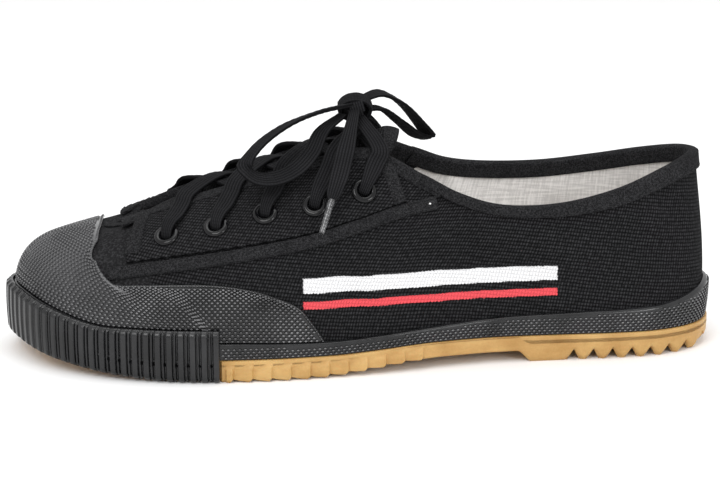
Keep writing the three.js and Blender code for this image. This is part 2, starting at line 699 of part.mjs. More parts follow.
// Tongue: its sides lie under the lace panels, its end stands free above the throat
const TONGUE_FRONT = 12.5; // in rows
const TONGUE_BACK = 8;
const TONGUE_ROWS = 9;
const TONGUE_SHARES = [0.56, 0.79, 1]; // of the wall, under the panels
const TONGUE_CROWN = 0.14; // in shares of the throat's width
const TONGUE_END = { back: 13, up: 6, narrower: 0.25 };
function tongueFace(t, depth) {
  const side = (s) => TONGUE_SHARES.map((v) => offset(s, v, -depth));
  const left = side(t);
  const right = side(COUNT - t);
  const across = left.at(-1).distanceTo(right.at(-1));
  const middle = left.at(-1).clone().lerp(right.at(-1), 0.5);
  const top = middle.addScaledVector(UP, 2 * TONGUE_CROWN * across);
  const arc = new THREE.QuadraticBezierCurve3(left.at(-1), top, right.at(-1));
  return [...left, ...[0.25, 0.5, 0.75].map((s) => arc.getPoint(s)), ...right.toReversed()];
}
function tongueSection(t, share) {
  const high = tongueFace(t, WALL + GAP);
  const low = tongueFace(t, WALL + GAP + TONGUE).toReversed();
  const { back, up, narrower } = TONGUE_END;
  return [...high, ...low].map((p) => v3(p.x - back * share, p.y * (1 - narrower * share), p.z + up * share));
}
function tongue() {
  const sections = [1, 0.5].map((share) => tongueSection(TONGUE_BACK, share));
  for (let k = 0; k <= TONGUE_ROWS; k++)
    sections.push(tongueSection(THREE.MathUtils.lerp(TONGUE_BACK, TONGUE_FRONT, k / TONGUE_ROWS), 0));
  return loft(sections, sheetCap(sections[0].length));
}
piece("tongue", tongue(), "canvas");

// Eyelets: rolled rings seated through the panel
for (const { side, number, t, seat, out } of eyelets) {
  const face = GAP + STAY + GAP;
  const profile = [
    [EYELET_BORE - 0.5, -WALL],
    [EYELET_BORE, -WALL],
    [EYELET_BORE, face],
    [EYELET_RIM, face],
    [EYELET_RIM - 1, face + EYELET_HEIGHT],
    [EYELET_BORE - 0.5, face + EYELET_HEIGHT * 0.6],
  ];
  const ring = new THREE.LatheGeometry(flat([...profile, profile[0]]), 8).rotateX(Math.PI / 2);
  const made = standing(ring, seat, out);
  piece(`eyelet_${side.name}_${number}`, made, "metal");
}

// Laces: flat straps swept along tables or along the wall
function strap(points, facings, widths, steps) {
  const path = new THREE.CatmullRomCurve3(points, false, "centripetal");
  const facing = new THREE.CatmullRomCurve3(facings, false, "centripetal");
  const sections = [];
  for (let i = 0; i <= steps; i++) {
    const u = i / steps;
    const place = (widths.length - 1) * u;
    const k = Math.min(widths.length - 2, Math.floor(place));
    const half = THREE.MathUtils.lerp(widths[k], widths[k + 1], place - k) / 2;
    const along = path.getTangent(u);
    const side = along.clone().cross(facing.getPoint(u)).normalize();
    const face = side.clone().cross(along).normalize();
    const corner = (w, h) => path.getPoint(u).addScaledVector(side, w).addScaledVector(face, h);
    const thick = LACE_THICKNESS / 2;
    sections.push([
      corner(half, 0),
      corner(half - 0.8, thick),
      corner(0.8 - half, thick),
      corner(-half, 0),
      corner(0.8 - half, -thick),
      corner(half - 0.8, -thick),
    ]);
  }
  return loft(sections, outlineCap([[1, 0], [0.5, 1], [-0.5, 1], [-1, 0], [-0.5, -1], [0.5, -1]]));
}

const LACE_LIFT = GAP + STAY + GAP + LACE_THICKNESS / 2; // its middle over the wall, on the panel
const RIM_LIFT = LACE_LIFT + GAP + EYELET_HEIGHT;
const NARROW = 4.6; // a strap squeezed in an eyelet or at the knot
const eyeletOf = (side, number) => eyelets.find((e) => e.side.name === side && e.number === number);

// The tongue's top on the middle line, at the height of row t
function tongueTop(t) {
  const face = tongueFace(t, WALL + GAP);
  return face[(face.length - 1) / 2];
}

// From an eyelet up its panel and over the throat edge
function climb({ t, out, down: inset }) {
  const places = [
    { down: inset + 0.4, lift: RIM_LIFT - 0.9, width: NARROW },
    { down: inset - 4.5, lift: RIM_LIFT + 0.3, width: 6 },
    { down: inset - 9, lift: LACE_LIFT + 0.4, width: LACE_WIDTH },
    { down: inset * 0.3, lift: LACE_LIFT + 0.3, width: LACE_WIDTH },
    { down: 0.8, lift: LACE_LIFT + 1.5, width: LACE_WIDTH },
  ];
  return {
    points: places.map(({ down, lift }) => belowEdge(t, down, lift)),
    facings: places.map(() => out.clone()),
    widths: places.map(({ width }) => width),
  };
}

// One strap of a crossing, from an eyelet to the other side's edge one eyelet higher
function crossingStrap(from, to, lift) {
  const run = climb(from);
  const mirrored = (e) => (e.side.sign > 0 ? e.t : COUNT - e.t);
  const rest = LACE_THICKNESS / 2 + 3.5 * GAP;
  const middle = tongueTop((mirrored(from) + mirrored(to)) / 2);
  const edge = surface(to.t + to.side.sign * 0.3, 1);
  const inward = v3(0, -to.side.sign, 0);
  run.points.push(middle.addScaledVector(UP, rest + lift));
  run.points.push(edge.addScaledVector(inward, 6.2).addScaledVector(UP, rest + 0.9));
  run.facings.push(UP.clone(), UP.clone());
  run.widths.push(LACE_WIDTH, LACE_WIDTH);
  return strap(run.points, run.facings, run.widths, 9);
}
for (let i = 1; i < EYELETS.length; i++) {
  const over = crossingStrap(eyeletOf("lateral", i), eyeletOf("medial", i + 1), LACE_THICKNESS);
  const under = crossingStrap(eyeletOf("medial", i), eyeletOf("lateral", i + 1), 0);
  piece(`lace_crossing_${i}`, over.add(under), "lace");
}

// Knot over the top of the throat, with the straps that rise to it from the last eyelets
const KNOT = { x: 0.509 * LENGTH, y: 1, z: INSTEP_HEIGHT + 14.5, length: 14, width: 13, height: 10.5 };
function knotBall(extra) {
  const ball = new THREE.SphereGeometry(0.5, 10, 7).rotateX(Math.PI / 2);
  ball.scale(KNOT.length + 2 * extra, KNOT.width + 2 * extra, KNOT.height + 2 * extra);
  return solid(ball.translate(KNOT.x, KNOT.y, KNOT.z));
}
let knot = knotBall(0);
for (const side of SIDES) {
  const run = climb(eyeletOf(side.name, EYELETS.length));
  run.points.push(v3(KNOT.x - 1, KNOT.y + side.sign * 3, KNOT.z - 3));
  run.facings.push(v3(0, side.sign, 0.6));
  run.widths.push(5);
  knot = knot.add(strap(run.points, run.facings, run.widths, 8));
}
piece("lace_knot", knot, "lace");

// Bow, from the knot's middle; tilt turns the strap's width from level across the shoe to upright
const LOOP_LATERAL = [
  { x: 1.5, y: 3, z: 1.5, tilt: 20, width: 4 },
  { x: 14.5, y: 13, z: 0.5, tilt: 20, width: 6 },
  { x: 28.5, y: 22, z: -3.5, tilt: 10, width: 7 },
  { x: 39, y: 28, z: -10.5, tilt: 0, width: 7 },
  { x: 43, y: 30, z: -17, tilt: -15, width: 7 },
  { x: 39.5, y: 30, z: -21, tilt: -30, width: 7 },
  { x: 32.5, y: 28.5, z: -22, tilt: -35, width: 7 },
  { x: 24.5, y: 25, z: -19.5, tilt: -35, width: 7 },
  { x: 18, y: 19.5, z: -14, tilt: -30, width: 7 },
  { x: 13.5, y: 13, z: -7, tilt: -20, width: 6 },
  { x: 5, y: 5, z: -2, tilt: -10, width: 4 },
];
const END_LATERAL = [
  { x: 0.5, y: 5, z: -0.5, tilt: -30, width: 4 },
  { x: 2.5, y: 15, z: -5, tilt: -35, width: 5 },
  { x: 5, y: 23.5, z: -12, tilt: -40, width: 7 },
  { x: 7.9, y: 31, z: -20.5, tilt: -45, width: 7 },
  { x: 11.3, y: 37, z: -29, tilt: -50, width: 7 },
];
const LOOP_MEDIAL = [
  { x: -2.5, y: -3, z: 2.5, tilt: -20, width: 4 },
  { x: -10.5, y: -9, z: 4, tilt: -20, width: 6 },
  { x: -19.1, y: -16, z: -1, tilt: -10, width: 7 },
  { x: -26.7, y: -23, z: -9.5, tilt: 0, width: 7 },
  { x: -32, y: -28.5, z: -17.5, tilt: 15, width: 7 },
  { x: -27, y: -25, z: -16, tilt: 15, width: 7 },
  { x: -19, y: -18, z: -9, tilt: 0, width: 7 },
  { x: -11.2, y: -10.5, z: -2.5, tilt: -10, width: 6 },
  { x: -4.5, y: -4, z: -1, tilt: -20, width: 4 },
];
const END_MEDIAL = [
  { x: -0.5, y: -6, z: -1.5, tilt: 30, width: 4 },
  { x: -3.5, y: -16.5, z: -5, tilt: 35, width: 5 },
  { x: -8, y: -25.5, z: -11.5, tilt: 40, width: 7 },
  { x: -12, y: -33, z: -20, tilt: 45, width: 7 },
  { x: -15.5, y: -38.5, z: -29, tilt: 50, width: 7 },
];
const fromKnot = ({ x, y, z }) => v3(KNOT.x + x, KNOT.y + y, KNOT.z + z);
function bow(rows, steps) {
  const points = rows.map(fromKnot);
  const facings = rows.map(({ tilt }) => v3(0, -Math.sin(rad(tilt)), Math.cos(rad(tilt))));
  return strap(points, facings, rows.map(({ width }) => width), steps);
}
const knotSpace = knotBall(GAP);
piece("lace_loop_lateral", bow(LOOP_LATERAL, 18).subtract(knotSpace), "lace");
piece("lace_loop_medial", bow(LOOP_MEDIAL, 15).subtract(knotSpace), "lace");

// Ends with clear tips
const AGLET = { length: 13, radius: 1.4 };
function aglet(rows) {
  const [before, end] = rows.slice(-2).map(fromKnot);
  const along = end.clone().sub(before).normalize();
  const tip = new THREE.CylinderGeometry(AGLET.radius, AGLET.radius, AGLET.length, 8);
  const turn = new THREE.Quaternion().setFromUnitVectors(v3(0, 1, 0), along);
  const centre = end.clone().addScaledVector(along, AGLET.length / 2 + GAP);
  return solid(tip.applyQuaternion(turn).translate(centre.x, centre.y, centre.z));
}
for (const [name, rows] of [["lateral", END_LATERAL], ["medial", END_MEDIAL]]) {
  piece(`lace_end_${name}`, bow(rows, 7).subtract(knotSpace), "lace");
  piece(`aglet_${name}`, aglet(rows), "aglet");
}

const shoe = new THREE.Group();
shoe.name = "martial_arts_shoe";
const last = new THREE.Group();
last.position.x = -HEEL_REST;
last.add(...meshes);
shoe.add(last);

export default shoe;
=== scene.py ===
"""A low canvas martial arts shoe for the left foot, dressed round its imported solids.

Shapes are worked out in millimetres on the last's own axes, x from the heel's back, and become
metres in the row's frame when a mesh is made.
"""

import logging
import math
from dataclasses import dataclass, field
from enum import Enum
from typing import Callable, NamedTuple

import bpy
import numpy as np
from mathutils import Matrix, Vector


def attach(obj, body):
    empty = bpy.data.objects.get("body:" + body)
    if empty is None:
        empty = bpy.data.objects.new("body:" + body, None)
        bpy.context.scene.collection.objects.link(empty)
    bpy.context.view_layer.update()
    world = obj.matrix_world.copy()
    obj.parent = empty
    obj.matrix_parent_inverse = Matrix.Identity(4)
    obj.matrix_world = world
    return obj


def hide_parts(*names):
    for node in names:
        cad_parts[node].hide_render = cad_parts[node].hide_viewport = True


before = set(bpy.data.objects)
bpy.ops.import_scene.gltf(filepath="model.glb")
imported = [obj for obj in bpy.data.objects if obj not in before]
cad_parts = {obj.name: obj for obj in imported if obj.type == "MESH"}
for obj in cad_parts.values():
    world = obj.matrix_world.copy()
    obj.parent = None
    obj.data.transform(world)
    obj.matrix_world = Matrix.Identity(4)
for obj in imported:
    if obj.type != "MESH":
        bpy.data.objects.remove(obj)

LOG = logging.getLogger("shoe")
Array = np.ndarray
Material = bpy.types.Material
Piece = bpy.types.Object
Colour = tuple[float, float, float]

BODY = "root"
METRE = 0.001  # the scene's metres in one of the shapes' millimetres
HEEL_REST = 40.0  # the row's origin, from the heel's back
UP = np.array([0.0, 0.0, 1.0])
TINY = 1e-3  # a step in t or v, for slopes
GAP = 0.3  # between a piece and what it lies on
WALL = 1.8  # the upper's thickness, with its lining
BUMPER_END = 0.7  # the toe bumper's rear end, as a share of the length
PATCH_SCALE = np.array([9.0, 50.0])  # about millimetres for one row and for the way up


def smooth(low: float, high: float, x: Array) -> Array:
    """A soft step from 0 at low to 1 at high, which also runs backwards."""
    share = np.clip((np.asarray(x, float) - low) / (high - low), 0, 1)
    return share * share * (3 - 2 * share)


def mound(marks: tuple[float, float, float, float], x: Array) -> Array:
    """1 between the two middle marks, with soft steps down to 0 at the outer ones."""
    return smooth(marks[0], marks[1], x) * smooth(marks[3], marks[2], x)


def unit(vectors: Array) -> Array:
    """Vectors scaled to length one."""
    return vectors / np.maximum(np.linalg.norm(vectors, axis=-1, keepdims=True), 1e-9)


def run_of(line: Array) -> Array:
    """The distance along a line, or along each of many, at each of its points."""
    steps = np.linalg.norm(np.diff(line, axis=-2), axis=-1).cumsum(-1)
    return np.concatenate([np.zeros_like(steps[..., :1]), steps], -1)


def at_runs(line: Array, run: Array, want: Array) -> Array:
    """A line's points, or what goes with them, at wanted distances along it."""
    return np.stack([np.interp(want, run, column) for column in line.T], 1)


def resample(line: Array, count: int) -> Array:
    """Points at even distances along a line."""
    run = run_of(line)
    return at_runs(line, run, np.linspace(0, run[-1], count))


def grid_chart(along: Array, across: Array) -> Array:
    """Cloth coordinates of a grid, from the distances along it and across it."""
    return np.stack(np.broadcast_arrays(along[:, None], across[None]), -1)


def circle(side: Array, other: Array, count: int) -> Array:
    """Evenly spaced directions from side round through other."""
    angles = np.linspace(0, 2 * math.pi, count, endpoint=False)[:, None]
    return np.cos(angles) * side + np.sin(angles) * other


def curve(points: Array, count: int) -> Array:
    """A centripetal Catmull-Rom curve through the points.

    Args:
        points: the points that the curve passes.
        count: how many points to return, evenly over the spans.

    Returns:
        Points on the curve.
    """
    ends = (2 * points[:1] - points[1:2], points, 2 * points[-1:] - points[-2:-1])
    p = np.vstack(ends)
    step = np.sqrt(np.maximum(np.linalg.norm(np.diff(p, axis=0), axis=1), 1e-6))
    at = np.linspace(0, len(points) - 1, count)
    i = np.minimum(at.astype(int), len(points) - 2)
    f = (at - i)[:, None]
    a, b, c, d = p[i], p[i + 1], p[i + 2], p[i + 3]
    before, here, after = (step[i + k][:, None] for k in range(3))
    start = here * ((b - a) / before - (c - a) / (before + here) + (c - b) / here)
    stop = here * ((c - b) / here - (d - b) / (here + after) + (d - c) / after)
    return (
        (2 * f**3 - 3 * f**2 + 1) * b
        + (f**3 - 2 * f**2 + f) * start
        + (3 * f**2 - 2 * f**3) * c
        + (f**3 - f**2) * stop
    )


class Side(Enum):
    """The two sides of the shoe."""

    LATERAL = 1
    MEDIAL = -1

    @property
    def label(self) -> str:
        """The side's name in piece names."""
        return self.name.lower()


class Row(NamedTuple):
    """One section of the last, in shares of its sizes; lean and drop are degrees."""

    x: float
    y: float
    ex: float
    ey: float
    ez: float
    lean: float
    rise: float
    drop: float
    reach: float


class Crease(NamedTuple):
    """A soft trough (or ridge, where the depth is negative) in the cloth, in the side view."""

    x: float
    z: float
    angle: float
    length: float
    width: float
    depth: float


HEEL_ROW = Row(0.011, 0, 0.026, 0, 1, 8, 0.33, 84, 0.3)
TOE_ROW = Row(0.979, -0.035, 0.843, 0, 0.61, 8, 0.6, 6, 0.42)
LATERAL_ROWS = [
    Row(0.032, 0.26, 0.043, 0.18, 0.993, 8, 0.33, 82, 0.3),
    Row(0.089, 0.42, 0.091, 0.315, 0.934, 8, 0.33, 80, 0.3),
    Row(0.161, 0.47, 0.154, 0.39, 0.851, 8, 0.33, 78, 0.3),
    Row(0.243, 0.485, 0.232, 0.43, 0.79, 8, 0.33, 76, 0.3),
    Row(0.329, 0.51, 0.311, 0.44, 0.786, 8, 0.36, 70, 0.3),
    Row(0.411, 0.53, 0.371, 0.4, 0.845, 8, 0.4, 60, 0.3),
    Row(0.489, 0.527, 0.421, 0.32, 0.905, 7, 0.42, 52, 0.3),
    Row(0.564, 0.514, 0.493, 0.21, 1, 6, 0.44, 44, 0.32),
    Row(0.643, 0.516, 0.571, 0.175, 0.945, 5, 0.46, 40, 0.34),
    Row(0.721, 0.516, 0.654, 0.155, 0.85, 4, 0.48, 34, 0.36),
    Row(0.793, 0.484, 0.732, 0.135, 0.768, 3, 0.5, 28, 0.38),
    Row(0.857, 0.418, 0.793, 0.108, 0.692, 5, 0.52, 20, 0.4),
    Row(0.918, 0.3, 0.825, 0.068, 0.64, 6, 0.55, 12, 0.41),
    Row(0.956, 0.15, 0.838, 0.028, 0.617, 8, 0.58, 8, 0.42),
]
MEDIAL_ROWS = [
    Row(0.032, -0.265, 0.043, -0.18, 0.99, 8, 0.33, 82, 0.3),
    Row(0.089, -0.42, 0.091, -0.315, 0.954, 8, 0.33, 80, 0.3),
    Row(0.161, -0.465, 0.154, -0.39, 0.91, 8, 0.33, 78, 0.3),
    Row(0.243, -0.455, 0.232, -0.42, 0.875, 8, 0.33, 76, 0.3),
    Row(0.329, -0.43, 0.311, -0.42, 0.872, 9, 0.36, 72, 0.3),
    Row(0.411, -0.405, 0.371, -0.37, 0.9, 9, 0.4, 64, 0.3),
    Row(0.489, -0.39, 0.421, -0.3, 0.936, 8, 0.42, 54, 0.3),
    Row(0.564, -0.4, 0.493, -0.2, 1, 7, 0.44, 44, 0.32),
    Row(0.643, -0.44, 0.571, -0.165, 0.945, 5, 0.46, 40, 0.34),
    Row(0.721, -0.484, 0.654, -0.146, 0.85, 4, 0.48, 34, 0.36),
    Row(0.793, -0.49, 0.732, -0.127, 0.768, 3, 0.5, 28, 0.38),
    Row(0.857, -0.457, 0.793, -0.102, 0.692, 5, 0.52, 20, 0.4),
    Row(0.918, -0.37, 0.825, -0.064, 0.64, 6, 0.55, 12, 0.41),
    Row(0.956, -0.223, 0.838, -0.028, 0.617, 8, 0.58, 8, 0.42),
]
# The cloth's creases: places and lengths in millimetres of the side view
CREASES = {
    Side.LATERAL: [
        Crease(150, 36, 62, 26, 4.0, 1.55),
        Crease(141, 39, 66, 26, 3.2, -1.08),
        Crease(121, 44, 38, 34, 5.0, 1.55),
        Crease(113, 50, 42, 26, 3.5, -0.93),
        Crease(103, 50, 70, 24, 4.0, 1.4),
        Crease(95, 52, 80, 18, 3.0, -0.93),
        Crease(80, 36, 14, 46, 6.0, 1.4),
        Crease(74, 46, 12, 40, 5.0, -0.93),
        Crease(36, 46, 22, 36, 6.0, 1.4),
        Crease(22, 60, 58, 26, 4.5, 1.24),
        Crease(30, 58, 60, 20, 3.5, -0.78),
    ],
    Side.MEDIAL: [
        Crease(152, 36, 60, 26, 4.0, 1.55),
        Crease(142, 39, 64, 26, 3.4, -0.93),
        Crease(124, 44, 45, 30, 5.0, 1.55),
        Crease(98, 52, 74, 22, 4.0, 1.24),
        Crease(88, 42, 10, 46, 6.0, 1.4),
        Crease(36, 48, 24, 36, 6.0, 1.24),
    ],
}


@dataclass
class Last:
    """The shoe's form: the wall's outer face over a ring of rows.

    t runs over the rows from the heel's back along the lateral side, round the toe and back, and
    v from the feather line (0) to the opening's edge (1).
    """

    length: float = 280.0
    ball_width: float = 92.0
    heel_width: float = 62.0
    heel_height: float = 76.0
    instep_height: float = 80.0
    toe_spring: float = 9.0
    sole: float = 8.2
    arch_top: float = 2.0
    foxing_height: float = 28.0
    bumper_height: float = 20.0
    bumper_toe_rise: float = 8.0
    rows: list[Row] = field(default_factory=list)
    handles: Array = field(init=False)

    def __post_init__(self) -> None:
        """Works out each row's four Bezier points."""
        self.rows = [HEEL_ROW, *LATERAL_ROWS, TOE_ROW, *reversed(MEDIAL_ROWS)]
        self.handles = np.array([self._row_handles(row) for row in self.rows])

    @property
    def count(self) -> int:
        """How many rows there are."""
        return len(self.rows)

    @property
    def toe(self) -> int:
        """The toe's place among the rows."""
        return len(LATERAL_ROWS) + 1

    def width_at(self, x: float) -> float:
        """The upper's width at a share of the length."""
        step = float(smooth(0.3, 0.65, x))
        return self.heel_width + (self.ball_width - self.heel_width) * step

    def spring(self, x: Array) -> Array:
        """The sole's lift from the floor towards the toe."""
        start = 0.714 * self.length
        return self.toe_spring * (np.maximum(0, np.asarray(x) - start) / (self.length - start)) ** 2

    def sole_top(self, x: Array) -> Array:
        """The height of the sole's top face."""
        waist = smooth(0.557 * self.length, 0.4 * self.length, x)
        return self.sole + self.spring(x) + self.arch_top * waist

    def bumper_top(self, x: Array) -> Array:
        """The height of the toe bumper's upper edge."""
        rise = smooth(0.843 * self.length, 0.996 * self.length, x)
        return self.bumper_height + self.bumper_toe_rise * rise

    def foxing_top(self, x: Array) -> Array:
        """The height of the foxing's upper edge.

        Args:
            x: distances from the heel's back.

        Returns:
            The heights.
        """
        shares = np.array([
            [-0.02, 1.0], [0.02, 0.893], [0.08, 0.736], [0.2, 0.679],
            [0.33, 0.636], [0.44, 0.557], [0.55, 0.486], [0.68, 0.521],
        ])
        line = curve(shares * [self.length, self.foxing_height], 60)
        behind = np.interp(x, line[:, 0], line[:, 1])
        front = self.bumper_top(x) - 2 * GAP
        join = smooth(BUMPER_END * self.length, 0.722 * self.length, x)
        return behind * (1 - join) + front * join

    def _row_handles(self, row: Row) -> list[Array]:
        """The row's wall as four Bezier points, from the feather line to the opening.

        Args:
            row: the section's shares.

        Returns:
            The four points.
        """
        height = self.heel_height + (self.instep_height - self.heel_height) * float(
            smooth(0.38, 0.45, row.ex)
        )
        x = row.x * self.length
        foot = np.array([x, row.y * self.width_at(row.x), float(self.sole_top(x)) + GAP])
        edge = np.array([row.ex * self.length, row.ey * self.width_at(row.ex), row.ez * height])
        out = unit((foot - edge) * [1, 1, 0])
        size = np.linalg.norm(foot - edge)
        lean, drop = math.radians(row.lean), math.radians(row.drop)
        low = foot + row.rise * size * (UP * math.cos(lean) + out * math.sin(lean))
        high = edge + row.reach * size * (out * math.cos(drop) - UP * math.sin(drop))
        return [foot, low, high, edge]

    def bare(self, t: Array, v: Array) -> Array:
        """Points of the wall without the cloth's creases.

        Args:
            t: places along the rows.
            v: shares of the way up.

        Returns:
            The points, in one array of the broadcast shape.
        """
        t, v = np.broadcast_arrays(np.asarray(t, float), np.asarray(v, float))
        i = np.floor(t).astype(int)
        f = t - i
        weights = np.stack([
            (-f + 2 * f**2 - f**3) / 2,
            (2 - 5 * f**2 + 3 * f**3) / 2,
            (f + 4 * f**2 - 3 * f**3) / 2,
            (-(f**2) + f**3) / 2,
        ], -1)
        near = (i[..., None] + np.arange(-1, 3)) % self.count
        points = np.einsum("...r,...rhc->...hc", weights, self.handles[near])
        w = 1 - v
        shares = np.stack([w**3, 3 * w**2 * v, 3 * w * v**2, v**3], -1)
        return np.einsum("...h,...hc->...c", shares, points)

    def relief(self, points: Array) -> Array:
        """How far the creases press the cloth in at these points.

        Args:
            points: points of the bare wall.

        Returns:
            The depths.
        """
        depth = np.zeros(points.shape[:-1])
        for side, creases in CREASES.items():
            facing = smooth(2, 12, points[..., 1] * side.value)
            for crease in creases:
                angle = math.radians(crease.angle)
                x, z = points[..., 0] - crease.x, points[..., 2] - crease.z
                along = x * math.cos(angle) + z * math.sin(angle)
                across = z * math.cos(angle) - x * math.sin(angle)
                shape = np.exp(-((across / crease.width) ** 2) - (along / crease.length * 1.6) ** 2)
                depth += crease.depth * shape * facing
        return depth

    def normal(self, t: Array, v: Array) -> Array:
        """The wall's outward normals."""
        along, up = self._slopes(t, v)
        return unit(np.cross(up, along))

    def _slopes(self, t: Array, v: Array) -> tuple[Array, Array]:
        """How the wall's points move with t and with v.

        Args:
            t: places along the rows.
            v: shares of the way up.

        Returns:
            The slope by t and the slope by v.
        """
        t, v = np.asarray(t), np.asarray(v)
        along = (self.bare(t + TINY, v) - self.bare(t - TINY, v)) / (2 * TINY)
        above, below = np.minimum(1, v + TINY), np.maximum(0, v - TINY)
        up = (self.bare(t, above) - self.bare(t, below)) / (above - below)[..., None]
        return along, up

    def offset(self, t: Array, v: Array, out: Array | float) -> Array:
        """Points out millimetres from the creased wall."""
        points = self.bare(t, v)
        return points + self.normal(t, v) * (np.asarray(out) - self.relief(points))[..., None]

    def plan_normal(self, t: Array) -> Array:
        """The feather line's outward normals in plan."""
        along = self.bare(t + 10 * TINY, 0) - self.bare(t - 10 * TINY, 0)
        return unit(np.stack([-along[..., 1], along[..., 0], 0 * along[..., 0]], -1))

    def first_v(self, t: Array, gauge: Callable[[Array], Array]) -> Array:
        """The share of the way up at which a gauge of the wall's points first reaches zero.

        Args:
            t: places along the rows.
            gauge: gives a number for each point, negative before the crossing.

        Returns:
            The shares, 1 where the gauge stays negative.
        """
        v = np.linspace(0, 1, 161)
        values = gauge(self.bare(np.asarray(t, float)[:, None], v[None]))
        values[:, -1] = np.maximum(values[:, -1], 1e-6)
        k = np.argmax(values >= 0, axis=1)
        row = np.arange(len(k))
        before = values[row, np.maximum(k - 1, 0)]
        share = np.where(k > 0, before / (before - values[row, k] - 1e-12), 0)
        return np.where(k > 0, v[k - 1] + share * v[1], 0)

    def below_edge(self, t: float, down: float, out: float) -> Array:
        """A point on the wall, down millimetres below the opening's edge."""
        v = np.linspace(1, 0, 241)
        return self.offset(t, float(np.interp(down, run_of(self.bare(t, v)), v)), out)

    def locate(self, side: Side, x: Array, z: Array) -> Array:
        """The places on one side whose side view is (x, z).

        Args:
            side: which side of the shoe.
            x: distances from the heel's back.
            z: heights.

        Returns:
            An array of (t, v).
        """
        start = 0 if side is Side.LATERAL else self.count
        ts, vs = np.linspace(start, self.toe, 181), np.linspace(0, 1, 61)
        table = self.bare(ts[:, None], vs[None])[..., [0, 2]].reshape(-1, 2)
        want = np.stack([x, z], -1).astype(float)
        nearest = np.argmin(((want[:, None] - table[None]) ** 2).sum(-1), axis=1)
        t, v = ts[nearest // 61], vs[nearest % 61]
        for _ in range(8):
            here = self.bare(t, v)[:, [0, 2]]
            by_t = (self.bare(t + TINY, v)[:, [0, 2]] - here) / TINY
            by_v = (here - self.bare(t, v - TINY)[:, [0, 2]]) / TINY
            miss = want - here
            cross = by_t[:, 0] * by_v[:, 1] - by_t[:, 1] * by_v[:, 0]
            cross = np.where(np.abs(cross) < TINY, TINY, cross)
            ahead = (miss[:, 0] * by_v[:, 1] - miss[:, 1] * by_v[:, 0]) / cross
            above = (miss[:, 1] * by_t[:, 0] - miss[:, 0] * by_t[:, 1]) / cross
            t = t + np.clip(ahead, -0.3, 0.3)
            v = np.clip(v + np.clip(above, -0.1, 0.1), 0, 1)
        return np.stack([t, v], -1)

    def place(self, side: Side, rows: list[tuple[float, float]], count: int) -> Array:
        """A smooth line of (t, v) through side-view points given in shares of length and instep."""
        line = curve(np.array(rows) * [self.length, self.instep_height], count)
        return self.locate(side, line[:, 0], line[:, 1])

    def chart(self, t: Array, v: Array) -> Array:
        """Cloth coordinates: along the rows at half height, and up the wall.

        Args:
            t: places along the rows.
            v: shares of the way up.

        Returns:
            The coordinates in millimetres.
        """
        steps = np.linspace(-2, self.count + 2, 40 * (self.count + 4) + 1)
        run = run_of(self.bare(steps, 0.5))
        heights = np.linspace(0, 1, 41)
        t, v = np.broadcast_arrays(np.asarray(t, float), np.asarray(v, float))
        lengths = run_of(self.bare(t[..., None], heights))
        place = np.clip(v, 0, 1) * (len(heights) - 1)
        k = np.minimum(place.astype(int), len(heights) - 2)
        low = np.take_along_axis(lengths, k[..., None], -1)[..., 0]
        high = np.take_along_axis(lengths, k[..., None] + 1, -1)[..., 0]
        return np.stack([np.interp(t, steps, run), low + (place - k) * (high - low)], -1)

    def shifted(self, line: Array, across: Array) -> Array:
        """Places beside a line of (t, v), by distances across it on the wall.

        Args:
            line: the line's (t, v).
            across: distances to its left, in millimetres.

        Returns:
            An array of (t, v), one row for each point and one column for each distance.
        """
        by_t, by_v = self._slopes(line[:, 0], line[:, 1])
        along = unit(np.gradient(self.bare(line[:, 0], line[:, 1]), axis=0))
        left = unit(np.cross(unit(np.cross(by_v, by_t)), along))
        tt, vv, tv = (by_t**2).sum(1), (by_v**2).sum(1), (by_t * by_v).sum(1)
        lt, lv = (left * by_t).sum(1), (left * by_v).sum(1)
        step = np.stack([lt * vv - lv * tv, lv * tt - lt * tv], -1) / (tt * vv - tv**2)[:, None]
        return line[:, None] + step[:, None] * np.asarray(across)[None, :, None]


def patch(bottom: Array, top: Array, left: Array, right: Array,
          across: int, up: int) -> Array:
    """A grid of (t, v) between four lines that meet at their ends.

    Args:
        bottom: from left to right.
        top: from left to right.
        left: from bottom to top.
        right: from bottom to top.
        across: points from left to right.
        up: points from bottom to top.

    Returns:
        An array of shape (across, up, 2).
    """
    scale = PATCH_SCALE
    b, t = (resample(line * scale, across)[:, None] / scale for line in (bottom, top))
    l, r = (resample(line * scale, up)[None] / scale for line in (left, right))
    s = np.linspace(0, 1, across)[:, None, None]
    h = np.linspace(0, 1, up)[None, :, None]
    corners = (1 - s) * ((1 - h) * b[:1] + h * t[:1]) + s * ((1 - h) * b[-1:] + h * t[-1:])
    return (1 - h) * b + h * t + (1 - s) * l + s * r - corners


